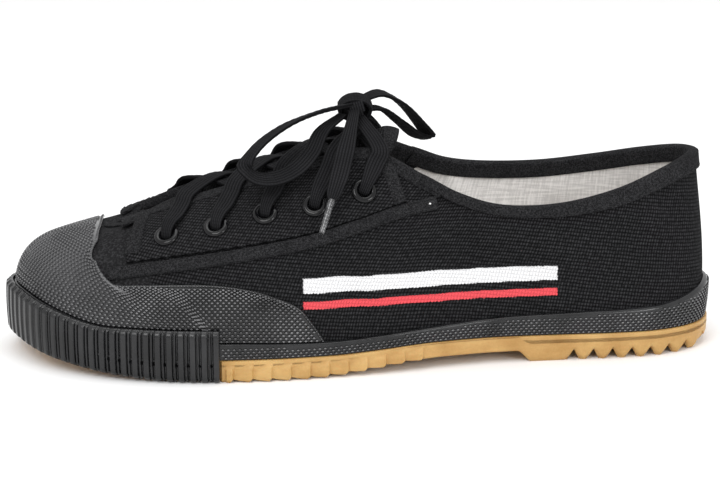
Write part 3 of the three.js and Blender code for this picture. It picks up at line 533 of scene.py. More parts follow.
class Builder:
    """Gathers the points, faces and cloth coordinates of one mesh."""

    def __init__(self) -> None:
        """Starts with nothing."""
        self.points: list[Array] = []
        self.faces: list[Array] = []
        self.charts: list[Array] = []
        self.slots: list[Array] = []
        self.total = 0

    def add(self, points: Array) -> Array:
        """Adds points.

        Args:
            points: an array whose last axis is x, y and z.

        Returns:
            Their numbers, in an array of the same shape.
        """
        flat = np.asarray(points, float).reshape(-1, 3)
        numbers = np.arange(self.total, self.total + len(flat)).reshape(points.shape[:-1])
        self.points.append(flat)
        self.total += len(flat)
        return numbers

    def raw(self, faces: Array, charts: Array | None = None, slot: int = 0) -> None:
        """Adds faces of one size.

        Args:
            faces: point numbers, one row for each face.
            charts: the cloth coordinates of each corner.
            slot: the material's place.
        """
        self.faces.append(faces)
        empty = np.zeros((*faces.shape, 2))
        self.charts.append(empty if charts is None else charts)
        self.slots.append(np.full(len(faces), slot))

    def quads(self, grid: Array, chart: Array | None = None, wrap: bool = False,
              flip: bool = False) -> None:
        """Adds the faces of a grid of point numbers.

        Args:
            grid: the numbers.
            chart: cloth coordinates, with one more row than the grid where it wraps.
            wrap: whether the last row meets the first.
            flip: whether the faces turn the other way.
        """
        if wrap:
            grid = np.vstack([grid, grid[:1]])
        low, high = slice(None, -1), slice(1, None)
        corners = [(low, low), (high, low), (high, high), (low, high)]
        if flip:
            corners.reverse()
        faces = np.stack([grid[corner].ravel() for corner in corners], 1)
        if chart is not None:
            chart = np.stack([chart[corner].reshape(-1, 2) for corner in corners], 1)
        self.raw(faces, chart)

    def shell(self, outer: Array, inner: Array, chart: Array | None = None,
              wrap: bool = False) -> None:
        """Adds a closed sheet between two grids of points.

        Args:
            outer: the face that looks out.
            inner: the face that looks in.
            chart: cloth coordinates of both faces.
            wrap: whether the last row meets the first.
        """
        row, column = len(outer) // 2, outer.shape[1] // 2
        middle = outer[row, column]
        facing = np.cross(outer[row + 1, column] - middle, outer[row, column + 1] - middle)
        turned = float(facing @ (middle - inner[row, column])) < 0
        top, under = self.add(outer), self.add(inner)
        self.quads(top, chart, wrap, turned)
        self.quads(under, chart, wrap, not turned)
        edges = [((slice(None), 0), not turned), ((slice(None), -1), turned)]
        if not wrap:
            edges += [((0,), turned), ((-1,), not turned)]
        for (edge, flip), closes in zip(edges, (wrap, wrap, False, False)):
            rim = None if chart is None else np.stack([chart[edge], chart[edge] + 0.5], 1)
            self.quads(np.stack([top[edge], under[edge]], 1), rim, closes, flip)

    def tube(self, rings: Array, chart: Array | None = None,
             closed: bool = False) -> None:
        """Adds a tube of rings with flat ends.

        Args:
            rings: points of shape (rings, around, 3).
            chart: cloth coordinates of shape (rings, around + 1, 2).
            closed: whether the last ring meets the first.
        """
        numbers = self.add(rings)
        grid = np.hstack([numbers, numbers[:, :1]])
        centre = rings.mean(1)
        spin = np.cross(rings[0, 0] - centre[0], rings[0, 1] - centre[0])
        flip = spin @ (centre[1] - centre[0]) > 0
        if chart is None:
            chart = grid_chart(run_of(centre), np.linspace(0, 1, grid.shape[1]))
        if closed:
            chart = np.vstack([chart, chart[-1:] * 2 - chart[-2:-1]])
        self.quads(grid, chart, closed, flip)
        if not closed:
            self.raw(numbers[:1, ::-1 if flip else 1])
            self.raw(numbers[-1:, ::1 if flip else -1])

    def skin(self, grid: Array, out: Array, k: int,
             chart: Array | None = None) -> None:
        """Adds a closed sheet whose rows go from the top's middle over the side to the base's.

        Args:
            grid: its points, one row for each place round the foot.
            out: the outward direction at the first row.
            k: a column on the side.
            chart: cloth coordinates.
        """
        ahead, down = grid[1, k] - grid[0, k], grid[0, k + 1] - grid[0, k]
        self.quads(self.add(grid), chart, True, np.cross(ahead, down) @ out < 0)

    def studs(self, at: Array, along: Array, out: Array,
              size: tuple[float, float, float], top: float = 0.4, slot: int = 0,
              tip: int | None = None) -> None:
        """Adds many small lozenges with blunt tops.

        Args:
            at: the middles of their feet.
            along: the directions of their longer axes.
            out: the outward normals.
            size: half length, half width and height.
            top: the blunt top's share of the foot.
            slot: the material's place.
            tip: the blunt top's own material's place.
        """
        long, wide, high = size
        up = unit(np.cross(out, along))
        along = unit(np.cross(up, out))
        rings = []
        for share, level in ((1.0 + 0.25 * (1 - top), -0.25), (top, 1.0)):
            for a, b in ((1, 0), (0, 1), (-1, 0), (0, -1)):
                foot = at + along * a * share * long + up * b * share * wide
                rings.append(foot + out * level * high)
        numbers = self.add(np.stack(rings, 1))
        chart = np.zeros((len(at), 4, 2))
        chart[..., 0] = np.arange(len(at))[:, None]
        for k in range(4):
            after = (k + 1) % 4
            self.raw(numbers[:, [k, after, 4 + after, 4 + k]], chart, slot)
        self.raw(numbers[:, [4, 5, 6, 7]], chart, slot if tip is None else tip)
        self.raw(numbers[:, [3, 2, 1, 0]], chart, slot)

    def stitches(self, line: Array, out: Array, pitch: float = 2.6,
                 size: tuple[float, float, float] = (0.85, 0.26, 0.3)) -> None:
        """Adds a row of short threads along a line.

        Args:
            line: points on the surface.
            out: the normals there.
            pitch: from one thread to the next.
            size: half length, half width and height of a thread.
        """
        count = max(2, int(run_of(line)[-1] / pitch))
        at = resample(np.hstack([line, out]), count)
        centre, normal = at[:, :3], unit(at[:, 3:])
        self.studs(centre, unit(np.gradient(centre, axis=0)), normal, size, 0.55)

    def make(self, name: str, materials: list[Material], sharp: float = 38.0
             ) -> Piece:
        """Makes the object in the row's frame.

        Args:
            name: the piece's name.
            materials: its materials, in the order of the slots.
            sharp: edges turning more than these degrees stay crisp.

        Returns:
            The new object.
        """
        points = (np.vstack(self.points) - [HEEL_REST, 0, 0]) * METRE
        faces = [face for block in self.faces for face in block.tolist()]
        mesh = bpy.data.meshes.new(name)
        mesh.from_pydata(points, [], faces)
        layer = mesh.uv_layers.new(name="Chart")
        chart = np.concatenate([block.reshape(-1, 2) for block in self.charts])
        layer.data.foreach_set("uv", chart.astype(np.float32).ravel())
        mesh.polygons.foreach_set("material_index", np.concatenate(self.slots).astype(np.int32))
        mesh.polygons.foreach_set("use_smooth", np.ones(len(faces), bool))
        mesh.set_sharp_from_angle(angle=math.radians(sharp))
        for material in materials:
            mesh.materials.append(material)
        mesh.update()
        return linked(name, mesh)

    def piece(self, name: str, materials: list[Material], slot: str, *nodes: str,
              sharp: float = 38.0) -> Piece:
        """Makes the object and settles it on the shoe, for these CAD nodes."""
        return settle(self.make(name, materials, sharp), slot, *nodes)


def linked(name: str, data: bpy.types.ID) -> Piece:
    """A new object in the scene.

    Args:
        name: its name.
        data: its mesh, light or camera.

    Returns:
        The object.
    """
    made = bpy.data.objects.new(name, data)
    bpy.context.scene.collection.objects.link(made)
    return made


def settle(piece: Piece, slot: str, *nodes: str) -> Piece:
    """Rides a piece on the shoe, in the place of its CAD nodes, and reports it.

    Args:
        piece: the piece.
        slot: not used.
        nodes: the CAD nodes that it stands for.

    Returns:
        The piece.
    """
    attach(piece, BODY)
    if nodes:
        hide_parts(*nodes)
    count = len(piece.data.polygons) if piece.type == "MESH" else 0
    LOG.info("%s: %d faces", piece.name, count)
    return piece


class Socket:
    """A shader value that takes part in Python arithmetic."""

    def __init__(self, graph: "Graph", output: bpy.types.NodeSocket) -> None:
        """Wraps a node's output."""
        self.graph, self.output = graph, output

    def _math(self, operation: str, *values: object) -> "Socket":
        """One Math node on these values."""
        inputs = dict(enumerate(values))
        return self.graph.node("ShaderNodeMath", {"operation": operation}, inputs)

    def __add__(self, other: object) -> "Socket":
        """self + other"""
        return self._math("ADD", self, other)

    def __radd__(self, other: object) -> "Socket":
        """other + self"""
        return self._math("ADD", other, self)

    def __sub__(self, other: object) -> "Socket":
        """self - other"""
        return self._math("SUBTRACT", self, other)

    def __rsub__(self, other: object) -> "Socket":
        """other - self"""
        return self._math("SUBTRACT", other, self)

    def __mul__(self, other: object) -> "Socket":
        """self * other"""
        return self._math("MULTIPLY", self, other)

    def __rmul__(self, other: object) -> "Socket":
        """other * self"""
        return self._math("MULTIPLY", other, self)

    def __truediv__(self, other: object) -> "Socket":
        """self / other"""
        return self._math("DIVIDE", self, other)

    def __pow__(self, other: object) -> "Socket":
        """self ** other"""
        return self._math("POWER", self, other)

    def __abs__(self) -> "Socket":
        """abs(self)"""
        return self._math("ABSOLUTE", self)

    def wave(self) -> "Socket":
        """The sine of pi times the value, so each whole number is a crossing."""
        return self._math("SINE", self * math.pi)

    def above(self, level: object) -> "Socket":
        """1 where the value is above a level."""
        return self._math("GREATER_THAN", self, level)

    def least(self, other: object) -> "Socket":
        """The smaller of two values."""
        return self._math("MINIMUM", self, other)

    def step(self, low: float, high: float) -> "Socket":
        """A soft step from 0 at low to 1 at high."""
        settings = {"interpolation_type": "SMOOTHSTEP", "clamp": True}
        return self.graph.node("ShaderNodeMapRange", settings, {0: self, 1: low, 2: high})


class Graph:
    """A material's node tree."""

    def __init__(self, name: str) -> None:
        """Starts a material with its shader and output.

        Args:
            name: the material's name.
        """
        self.material = bpy.data.materials.new(name)
        self.material.use_nodes = True
        self.tree = self.material.node_tree
        self.tree.nodes.clear()
        output = self.tree.nodes.new("ShaderNodeOutputMaterial")
        self.shader = self.tree.nodes.new("ShaderNodeBsdfPrincipled")
        self.tree.links.new(self.shader.outputs[0], output.inputs[0])

    def node(self, kind: str, settings: dict[str, object] | None = None,
             inputs: dict[object, object] | None = None, output: object = 0) -> Socket:
        """Adds a node.

        Args:
            kind: the node's type.
            settings: its properties.
            inputs: a value or a link for each named or numbered socket.
            output: the socket that is returned.

        Returns:
            The output, ready for arithmetic.
        """
        made = self.tree.nodes.new(kind)
        for key, value in (settings or {}).items():
            setattr(made, key, value)
        for key, value in (inputs or {}).items():
            self.put(made.inputs[key], value)
        return Socket(self, made.outputs[output])

    def put(self, socket: bpy.types.NodeSocket, value: object) -> None:
        """Links or sets a socket.

        Args:
            socket: the node's input.
            value: a socket, number or colour.
        """
        if isinstance(value, Socket):
            self.tree.links.new(value.output, socket)
        elif isinstance(value, (tuple, list)) and len(value) == 3 and socket.type == "RGBA":
            socket.default_value = (*value, 1.0)
        else:
            socket.default_value = value

    def chart(self) -> tuple[Socket, Socket]:
        """The cloth coordinates, in millimetres.

        Returns:
            u and v.
        """
        vector = self.node("ShaderNodeUVMap", {"uv_map": "Chart"})
        parts = self.node("ShaderNodeSeparateXYZ", None, {0: vector})
        return parts, Socket(self, parts.output.node.outputs[1])

    def place(self) -> tuple[Socket, Socket, Socket]:
        """The place on the shoe, in millimetres on the last's axes.

        Returns:
            x, y and z.
        """
        vector = self.node("ShaderNodeTexCoord", None, None, "Object")
        x = self.node("ShaderNodeSeparateXYZ", None, {0: vector})
        y, z = (Socket(self, x.output.node.outputs[k]) for k in (1, 2))
        return x / METRE + HEEL_REST, y / METRE, z / METRE

    def noise(self, size: float, detail: float = 3.0,
              stretch: tuple[float, float, float] = (1, 1, 1), chart: bool = False) -> Socket:
        """Soft noise from 0 to 1.

        Args:
            size: the size of its patches in millimetres.
            detail: finer layers.
            stretch: how much finer it is along each axis.
            chart: whether it lies in the cloth coordinates.

        Returns:
            The value.
        """
        if chart:
            vector = self.node("ShaderNodeUVMap", {"uv_map": "Chart"})
            scale = 1.0
        else:
            vector = self.node("ShaderNodeTexCoord", None, None, "Object")
            scale = 1.0 / METRE
        factor = tuple(scale * axis / size for axis in stretch)
        moved = self.node("ShaderNodeVectorMath", {"operation": "MULTIPLY"},
                          {0: vector, 1: factor})
        inputs = {"Vector": moved, "Scale": 1.0, "Detail": detail, "Roughness": 0.55}
        return self.node("ShaderNodeTexNoise", None, inputs)

    def mix(self, factor: object, first: object, second: object) -> Socket:
        """A colour between two."""
        inputs = {0: factor, 6: first, 7: second}
        return self.node("ShaderNodeMix", {"data_type": "RGBA"}, inputs, 2)

    def bump(self, height: Socket, depth: float) -> Socket:
        """A normal from a height of 0 to 1, where 1 stands depth millimetres."""
        return self.node("ShaderNodeBump", None, {"Height": height, "Distance": depth * METRE})

    def finish(self, **values: object) -> Material:
        """Sets the shader's sockets, named with underscores for spaces.

        Args:
            values: a value or a link for each socket.

        Returns:
            The material.
        """
        for name, value in values.items():
            self.put(self.shader.inputs[name.replace("_", " ")], value)
        return self.material


def weave(u: Socket, v: Socket) -> Socket:
    """The height of a plain weave, from 0 to 1, where each whole number is a thread's side.

    Args:
        u: threads passed along.
        v: threads passed across.

    Returns:
        The height.
    """
    a, b = u.wave(), v.wave()
    warp_up = (a * b).above(0)
    warp = abs(a) ** 0.6 * (0.5 + 0.5 * abs(b))
    weft = abs(b) ** 0.6 * (0.5 + 0.5 * abs(a))
    return warp_up * warp + (1 - warp_up) * weft


@dataclass(frozen=True)
class Canvas:
    """Coarse black plain-weave cotton, with two plain bands printed on the quarters."""

    name: str = "canvas"
    warp: float = 1.22
    weft: float = 1.42
    dark: Colour = (0.0013, 0.0013, 0.0015)
    light: Colour = (0.037, 0.037, 0.0392)
    nap_dark: Colour = (0.004, 0.004, 0.0043)
    nap_light: Colour = (0.036, 0.036, 0.038)
    white: Colour = (0.78, 0.78, 0.79)
    red: Colour = (0.74, 0.085, 0.1)
    white_band: tuple[float, float] = (31.5, 37.0)  # heights over the floor
    red_band: tuple[float, float] = (25.6, 28.4)
    bands_from: float = 66.0  # from the heel's back
    bands_to: float = 164.5
    banded: bool = False
    smooth_from: float = 0.0

    def material(self) -> Material:
        """Makes the material.

        Returns:
            The material.
        """
        g = Graph(self.name)
        u, v = g.chart()
        wobble = g.noise(7, 2, chart=True)
        across = (u + v * 0.22) / self.warp + wobble * 0.4
        along = (v - u * 0.12) / self.weft + wobble * 0.4
        yarn = weave(across, along)
        slub = g.noise(1.2, 2, (0.6, 1, 1), True) * 0.5 + g.noise(1.2, 2, (1, 0.6, 1), True) * 0.5
        cell = slub.step(0.36, 0.66)
        broad = g.noise(26, 3)
        fuzz = g.noise(0.35, 2)
        # The yarn's crowns are painted lighter and its hollows darker, a painted highlight and
        # painted shade on the weave, varied by the slubs and a broad random tone.
        lit = yarn ** 2.1 * (0.4 + 0.75 * cell) * (0.75 + 0.5 * broad)
        colour = g.mix((lit + fuzz * 0.07).least(1.0), self.dark, self.light)
        height = yarn * 0.8 + fuzz * 0.2
        if self.smooth_from:
            x, _, _ = g.place()
            plain = x.step(self.smooth_from - 1, self.smooth_from + 1)
            nap = g.noise(0.9, 3).step(0.42, 0.72) * 0.7 + broad * 0.4
            colour = g.mix(plain, colour, g.mix(nap.least(1.0), self.nap_dark, self.nap_light))
            height = height * (1 - plain) + fuzz * plain * 0.4
        if self.banded:
            colour = self._printed(g, colour, yarn, slub)
        return g.finish(Base_Color=colour, Roughness=0.86, Normal=g.bump(height, 0.42),
                        Specular_IOR_Level=0.05)

    def _printed(self, g: Graph, colour: Socket, yarn: Socket, slub: Socket) -> Socket:
        """Two plain straight bands along each quarter, white over red.

        Args:
            g: the material's graph.
            colour: the cloth's colour.
            yarn: the weave's height.
            slub: the yarn's unevenness.

        Returns:
            The colour with the bands.
        """
        x, _, z = g.place()
        ragged = (slub - 0.5) * 0.9 + (yarn - 0.5) * 0.35
        level = z + ragged - (x - 110) * 0.006
        start, stop = self.bands_from, self.bands_to
        ends = (x + ragged).step(start, start + 0.5) * (1 - (x + ragged).step(stop, stop + 0.5))
        cover = (0.9 + 0.1 * yarn).least(1.0)
        for (low, high), ink in ((self.white_band, self.white), (self.red_band, self.red)):
            band = level.step(low, low + 0.35) * (1 - level.step(high, high + 0.35)) * ends
            # The ink is painted darker where the yarn sinks: painted shade in the weave's hollows.
            ink_weave_shade = g.mix(yarn * 0.35 + 0.65, tuple(c * 0.72 for c in ink), ink)
            colour = g.mix(band * cover, colour, ink_weave_shade)
        return colour


@dataclass(frozen=True)
class Tape:
    """Fine black cotton tape with a brushed face."""

    name: str = "tape"
    rib: float = 0.62
    dark: Colour = (0.004, 0.004, 0.0044)
    light: Colour = (0.05, 0.05, 0.0525)

    def material(self) -> Material:
        """Makes the material.

        Returns:
            The material.
        """
        g = Graph(self.name)
        u, v = g.chart()
        twill = abs(((u + v * 0.8) / self.rib).wave())
        fuzz = g.noise(0.55, 2)
        broad = g.noise(14, 3)
        nap = fuzz.step(0.34, 0.8)
        shade = (twill * 0.14 + nap * 0.75) * (0.5 + 0.9 * broad)
        colour = g.mix(shade.least(1.0), self.dark, self.light)
        normal = g.bump(twill * 0.35 + fuzz * 0.65, 0.3)
        return g.finish(Base_Color=colour, Roughness=0.92, Normal=normal,
                        Specular_IOR_Level=0.05)


@dataclass(frozen=True)
class Lining:
    """Light grey-beige plain-weave cotton."""

    name: str = "lining"
    pitch: float = 0.62
    dark: Colour = (0.48, 0.459, 0.437)
    light: Colour = (0.92, 0.893, 0.865)

    def material(self) -> Material:
        """Makes the material.

        Returns:
            The material.
        """
        g = Graph(self.name)
        u, v = g.chart()
        yarn = weave(u / self.pitch, v / self.pitch)
        threads = (g.noise(0.9, 2, (0.08, 1, 1), True) + g.noise(0.9, 2, (1, 0.08, 1), True)) * 0.5
        broad = g.noise(30, 3)
        shade = yarn * 0.35 + threads.step(0.4, 0.62) * 0.5 + broad * 0.3
        colour = g.mix(shade.least(1.0), self.dark, self.light)
        normal = g.bump(yarn * 0.7 + threads * 0.3, 0.12)
        return g.finish(Base_Color=colour, Roughness=0.95, Normal=normal,
                        Sheen_Weight=0.15, Specular_IOR_Level=0.15)


@dataclass(frozen=True)
class LaceCloth:
    """Flat black lace: ribs along it, each a braid of small chevrons."""

    name: str = "lace_cloth"
    ribs: float = 1.15
    chevron: float = 1.1
    dark: Colour = (0.0016, 0.0016, 0.0018)
    light: Colour = (0.0205, 0.0205, 0.0222)

    def material(self) -> Material:
        """Makes the material.

        Returns:
            The material.
        """
        g = Graph(self.name)
        u, v = g.chart()
        rib = abs((v / self.ribs).wave())
        slant = u / self.chevron + (rib * 0.5)
        braid = abs(slant.wave())
        fuzz = g.noise(0.4, 2)
        broad = g.noise(9, 2)
        shade = (rib * 0.5 + braid * rib * 0.3 + fuzz * 0.28) * (0.6 + 0.7 * broad)
        colour = g.mix(shade.least(1.0), self.dark, self.light)
        normal = g.bump(rib * 0.55 + braid * 0.35 + fuzz * 0.1, 0.3)
        return g.finish(Base_Color=colour, Roughness=0.88, Normal=normal,
                        Specular_IOR_Level=0.05)


@dataclass(frozen=True)
class Rubber:
    """Black moulded rubber with a satin skin; where set, its colour turns paler over the toe's
    front and top, partly grey powder and partly a painted sheen where the top faces the lights.
    """

    name: str = "black_rubber"
    dark: Colour = (0.003, 0.003, 0.0034)
    light: Colour = (0.024, 0.0243, 0.0256)
    gloss: float = 0.19
    spec: float = 0.38
    dust_and_painted_sheen: bool = False

    def material(self) -> Material:
        """Makes the material.

        Returns:
            The material.
        """
        g = Graph(self.name)
        broad = g.noise(18, 4)
        grain = g.noise(0.6, 3)
        smear = g.noise(5, 3, (1, 1, 0.3))
        shade = (broad * 0.55 + grain * 0.25 + smear * 0.2).step(0.3, 0.75)
        colour = g.mix(shade, self.dark, self.light)
        if self.dust_and_painted_sheen:
            x, _, z = g.place()
            # Paler towards the toe's front and higher up: grey powder plus painted sheen, the top
            # painted lighter as if lit from above.
            dust = x.step(200, 256) * (0.35 + 0.65 * z.step(22, 44)) * (0.5 + broad * 0.8)
            colour = g.mix(dust.least(1.0), colour, (0.08, 0.08, 0.083))
        rough = self.gloss + (grain - 0.5) * 0.12 + (smear - 0.5) * 0.2
        normal = g.bump(grain * 0.6 + smear * 0.4, 0.05)
        return g.finish(Base_Color=colour, Roughness=rough, Normal=normal,
                        Specular_IOR_Level=self.spec)


# The blunt tops of the lozenges and beads: colours painted far paler than the rubber, a painted
# highlight for the lights' glints, with their gloss and specular level.
PAINTED_TIP_HIGHLIGHT = ((0.008, 0.008, 0.0085), (0.24, 0.24, 0.246), 0.14, 0.6)


@dataclass(frozen=True)
class Gum:
    """Tan gum rubber, with soft mottling, and darker patches towards the bottom of the tread."""

    name: str = "gum"
    deep: Colour = (0.37, 0.195, 0.055)
    pale: Colour = (0.57, 0.35, 0.13)
    dust: Colour = (0.24, 0.145, 0.055)

    def material(self) -> Material:
        """Makes the material.

        Returns:
            The material.
        """
        g = Graph(self.name)
        _, _, z = g.place()
        broad = g.noise(16, 4)
        grain = g.noise(0.8, 3)
        streak = g.noise(4, 3, (0.25, 0.25, 1))
        shade = (broad * 0.5 + streak * 0.35 + grain * 0.15).step(0.3, 0.7)
        colour = g.mix(shade, self.deep, self.pale)
        # Darker patches towards the bottom, in the lowest 3.5 mm of the sole.
        low = (1 - z.step(0, 3.5)) * (grain * 0.5 + broad * 0.5).step(0.45, 0.7)
        colour = g.mix(low * 0.5, colour, self.dust)
        rough = 0.5 + (broad - 0.5) * 0.2 + (grain - 0.5) * 0.1
        normal = g.bump(grain * 0.4 + streak * 0.6, 0.08)
        return g.finish(Base_Color=colour, Roughness=rough, Normal=normal,
                        Subsurface_Weight=0.08, Specular_IOR_Level=0.35)


@dataclass(frozen=True)
class Enamel:
    """Glossy black enamel over metal."""

    name: str = "enamel"

    def material(self) -> Material:
        """Makes the material.

        Returns:
            The material.
        """
        g = Graph(self.name)
        wear = g.noise(1.6, 3)
        colour = g.mix(wear.step(0.62, 0.72), (0.003, 0.003, 0.0035), (0.012, 0.012, 0.013))
        rough = 0.05 + wear * 0.08
        normal = g.bump(g.noise(2.5, 2), 0.08)
        return g.finish(Base_Color=colour, Roughness=rough, Normal=normal,
                        Specular_IOR_Level=0.3)


@dataclass(frozen=True)
class Film:
    """The clear film of a lace's tip."""

    name: str = "film"

    def material(self) -> Material:
        """Makes the material.

        Returns:
            The material.
        """
        g = Graph(self.name)
        u, _ = g.chart()
        band = g.noise(1.2, 3, (1, 0.2, 1))
        colour = g.mix(band.step(0.35, 0.65), (0.008, 0.008, 0.009), (0.07, 0.072, 0.075))
        rough = 0.12 + band * 0.2
        normal = g.bump(abs((u / 1.4).wave()) * 0.5 + band * 0.5, 0.12)
        return g.finish(Base_Color=colour, Roughness=rough, Normal=normal,
                        Specular_IOR_Level=0.7, Coat_Weight=0.5)


@dataclass(frozen=True)
class Thread:
    """Sewing thread."""

    name: str = "thread"
    colour: Colour = (0.008, 0.008, 0.009)

    def material(self) -> Material:
        """Makes the material.

        Returns:
            The material.
        """
        g = Graph(self.name)
        twist = g.noise(0.3, 2)
        bright = tuple(min(1.0, c * 1.8) for c in self.colour)
        colour = g.mix(twist.step(0.35, 0.7), self.colour, bright)
        return g.finish(Base_Color=colour, Roughness=0.7, Normal=g.bump(twist, 0.05),
                        Specular_IOR_Level=0.3)


def ready(look: object) -> Material:
    """A field that holds a finish's material."""
    return field(default_factory=look.material)


@dataclass(frozen=True)
class Finishes:
    """The shoe's materials, each made once."""

    canvas: Material = ready(Canvas())
    quarter: Material = ready(Canvas("quarter_canvas", banded=True, smooth_from=221.5))
    tape: Material = ready(Tape())
    lining: Material = ready(Lining())
    lace: Material = ready(LaceCloth())
    rubber: Material = ready(Rubber())
    # The lozenges' tops, painted pale as a painted highlight.
    tips: Material = ready(Rubber("rubber_painted_tip_highlight", *PAINTED_TIP_HIGHLIGHT))
    # The toe's rubber carries the painted sheen and grey powder over its front and top.
    toe_rubber: Material = ready(Rubber("toe_rubber", dust_and_painted_sheen=True))
    # The toe's lozenge and bead tops: painted highlight, with the toe's painted sheen and powder
    # too.
    toe_tip_highlight: Material = ready(Rubber("toe_rubber_painted_tip_highlight", *PAINTED_TIP_HIGHLIGHT, True))
    gum: Material = ready(Gum())
    enamel: Material = ready(Enamel())
    film: Material = ready(Film())
    thread: Material = ready(Thread())
    white_thread: Material = ready(Thread("white_thread", (0.6, 0.6, 0.6)))


EYELET_PLACES = [(0.768, 0.271), (0.702, 0.285), (0.636, 0.285), (0.57, 0.306), (0.504, 0.22)]


@dataclass(frozen=True)
class Seat:
    """Where one eyelet sits; down is the way from the throat edge in millimetres."""

    side: Side
    number: int
    t: float
    at: Array
    out: Array
    down: float

    @staticmethod
    def all_of(last: Last) -> list["Seat"]:
        """Finds the ten seats from the last's sizes.

        Args:
            last: the shoe's form.

        Returns:
            The seats, the lateral side's first, each side from the toe up.
        """
        seats = []
        for side in Side:
            for number, (x, inset) in enumerate(EYELET_PLACES, 1):
                down = inset * last.instep_height
                low = 0.0 if side is Side.LATERAL else float(last.count)
                high = float(last.toe)
                for _ in range(22):
                    middle = (low + high) / 2
                    if last.below_edge(middle, down, 0)[0] < x * last.length:
                        low = middle
                    else:
                        high = middle
                t = (low + high) / 2
                at = last.below_edge(t, down, 0)
                out = unit(last.below_edge(t, down, 10) - at)
                seats.append(Seat(side, number, t, at, out, down))
        return seats

    def ring(self, count: int) -> Array:
        """Evenly spaced directions round the eyelet's axis."""
        side = unit(np.cross(self.out, [1.0, 0.0, 0.0]))
        return circle(side, np.cross(self.out, side), count)


def eyelet_rods(seats: list[Seat], radius: float = 2.9) -> Piece:
    """Rods through the eyelets' seats, in one mesh, to cut their holes with.

    Args:
        seats: the ten seats.
        radius: the holes' radius.

    Returns:
        The rods, which the caller removes.
    """
    builder = Builder()
    for seat in seats:
        ring = seat.at + radius * seat.ring(24)
        builder.tube(np.stack([ring - 6.0 * seat.out, ring + 4.0 * seat.out]))
    return builder.make("hole_rods", [])


def cut_out(piece: Piece, rods: Piece) -> None:
    """Takes the rods out of a piece's mesh.

    Args:
        piece: the piece, whose mesh is replaced.
        rods: what is cut away.
    """
    modifier = piece.modifiers.new("holes", "BOOLEAN")
    modifier.operation = "DIFFERENCE"
    modifier.solver = "EXACT"
    modifier.object = rods
    graph = bpy.context.evaluated_depsgraph_get()
    mesh = bpy.data.meshes.new_from_object(piece.evaluated_get(graph))
    whole = piece.data
    piece.modifiers.clear()
    piece.data = mesh
    bpy.data.meshes.remove(whole)


@dataclass
class Upper:
    """The canvas wall and its lining, in one ring round the foot."""

    last: Last
    finishes: Finishes
    seats: list[Seat]
    rings: int = 320
    levels: int = 52
    cloth: float = 0.9

    def build(self) -> None:
        """Makes both layers, with the eyelets' holes through them."""
        last = self.last
        v = np.linspace(0, 1, self.levels)[None]
        t = np.linspace(0, last.count, self.rings + 1)[:, None]
        chart = last.chart(t, v)
        rods = eyelet_rods(self.seats)
        layers = (
            ("upper_cloth", 0.0, -self.cloth, self.finishes.quarter, "canvas"),
            ("upper_lining", -self.cloth - 0.05, -WALL, self.finishes.lining, "lining"),
        )
        for name, outer, inner, material, slot in layers:
            builder = Builder()
            faces = [last.offset(t[:-1], v, out) for out in (outer, inner)]
            builder.shell(*faces, chart, wrap=True)
            made = builder.make(name, [material])
            cut_out(made, rods)
            settle(made, slot, "upper")
        bpy.data.objects.remove(rods)


@dataclass
class Foxing:
    """The rubber band round the upper's foot, with rows of small lozenges."""

    last: Last
    finishes: Finishes
    depth: float = 2.0
    rings: int = 560
    nub: tuple[float, float, float] = (0.92, 0.47, 0.5)
    blunt: float = 0.62
    pitch: float = 2.05
    row: float = 1.08
    first_row: float = 0.9
    plain_rim: float = 1.3
    rounded: float = 0.86  # the share of the height above which the edge rounds off

    def top(self, t: Array) -> Array:
        """The band's upper edge as shares of the wall."""
        return self.last.first_v(t, lambda p: p[..., 2] - self.last.foxing_top(p[..., 0]))

    def build(self) -> None:
        """Makes the band with its lozenges."""
        last = self.last
        t = np.linspace(0, last.count, self.rings, endpoint=False)
        levels = np.r_[np.linspace(0, self.rounded, 9), 0.92, 0.96, 0.985, 1.0]
        past = np.clip((levels - self.rounded) / (1 - self.rounded), 0, 1)
        out = GAP + self.depth * (0.3 + 0.7 * np.sqrt(1 - past**2))
        v = self.top(t)[:, None] * levels
        builder = Builder()
        builder.shell(last.offset(t[:, None], v, out), last.offset(t[:, None], v, GAP), wrap=True)
        self._nubs(builder)
        # Slot 1 holds the painted highlight of the lozenges' tops.
        rubber = [self.finishes.rubber, self.finishes.tips]
        builder.piece("foxing_band", rubber, "rubber", "foxing")

    def _nubs(self, builder: Builder) -> None:
        """Sets the lozenges in rows from the sole up, behind the bumper.

        Args:
            builder: the mesh that they join.
        """
        last = self.last
        t = np.linspace(-last.toe, last.toe, 1600)
        t = t[last.bare(t, 0)[:, 0] < BUMPER_END * last.length - 0.6]
        v = self.top(t)[:, None] * np.linspace(0, 1, 60)
        points = last.bare(t[:, None], v)
        lengths, run = run_of(points), run_of(points[:, 0])
        face = GAP + self.depth
        for k in range(int(lengths[:, -1].max() / self.row)):
            level = self.first_row + k * self.row
            keep = lengths[:, -1] - self.plain_rim > level
            at = [np.interp(level, lengths[i], v[i]) for i in np.flatnonzero(keep)]
            if len(at) < 8:
                continue
            for where in self._spans(t[keep], run[keep], k % 2 * self.pitch / 2):
                up = np.interp(where, t[keep], at)
                foot = last.offset(where, up, face)
                along = last.offset(where + 0.02, up, face) - foot
                out = last.normal(where, up)
                builder.studs(foot, unit(along), out, self.nub, self.blunt, 0, 1)

    def _spans(self, t: Array, run: Array, start: float) -> list[Array]:
        """Evenly spaced places along a row, broken where the row itself is broken.

        Args:
            t: the row's places.
            run: distances along it.
            start: the distance at which the spacing starts.

        Returns:
            The places of each unbroken span.
        """
        step = np.diff(t)
        breaks = np.flatnonzero(step > 3 * np.median(step)) + 1
        spans = []
        for ts, rs in zip(np.split(t, breaks), np.split(run, breaks)):
            ahead = math.ceil((rs[0] - start) / self.pitch)
            want = np.arange(ahead * self.pitch + start, rs[-1], self.pitch)
            if len(want):
                spans.append(np.interp(want, rs, ts))
        return spans


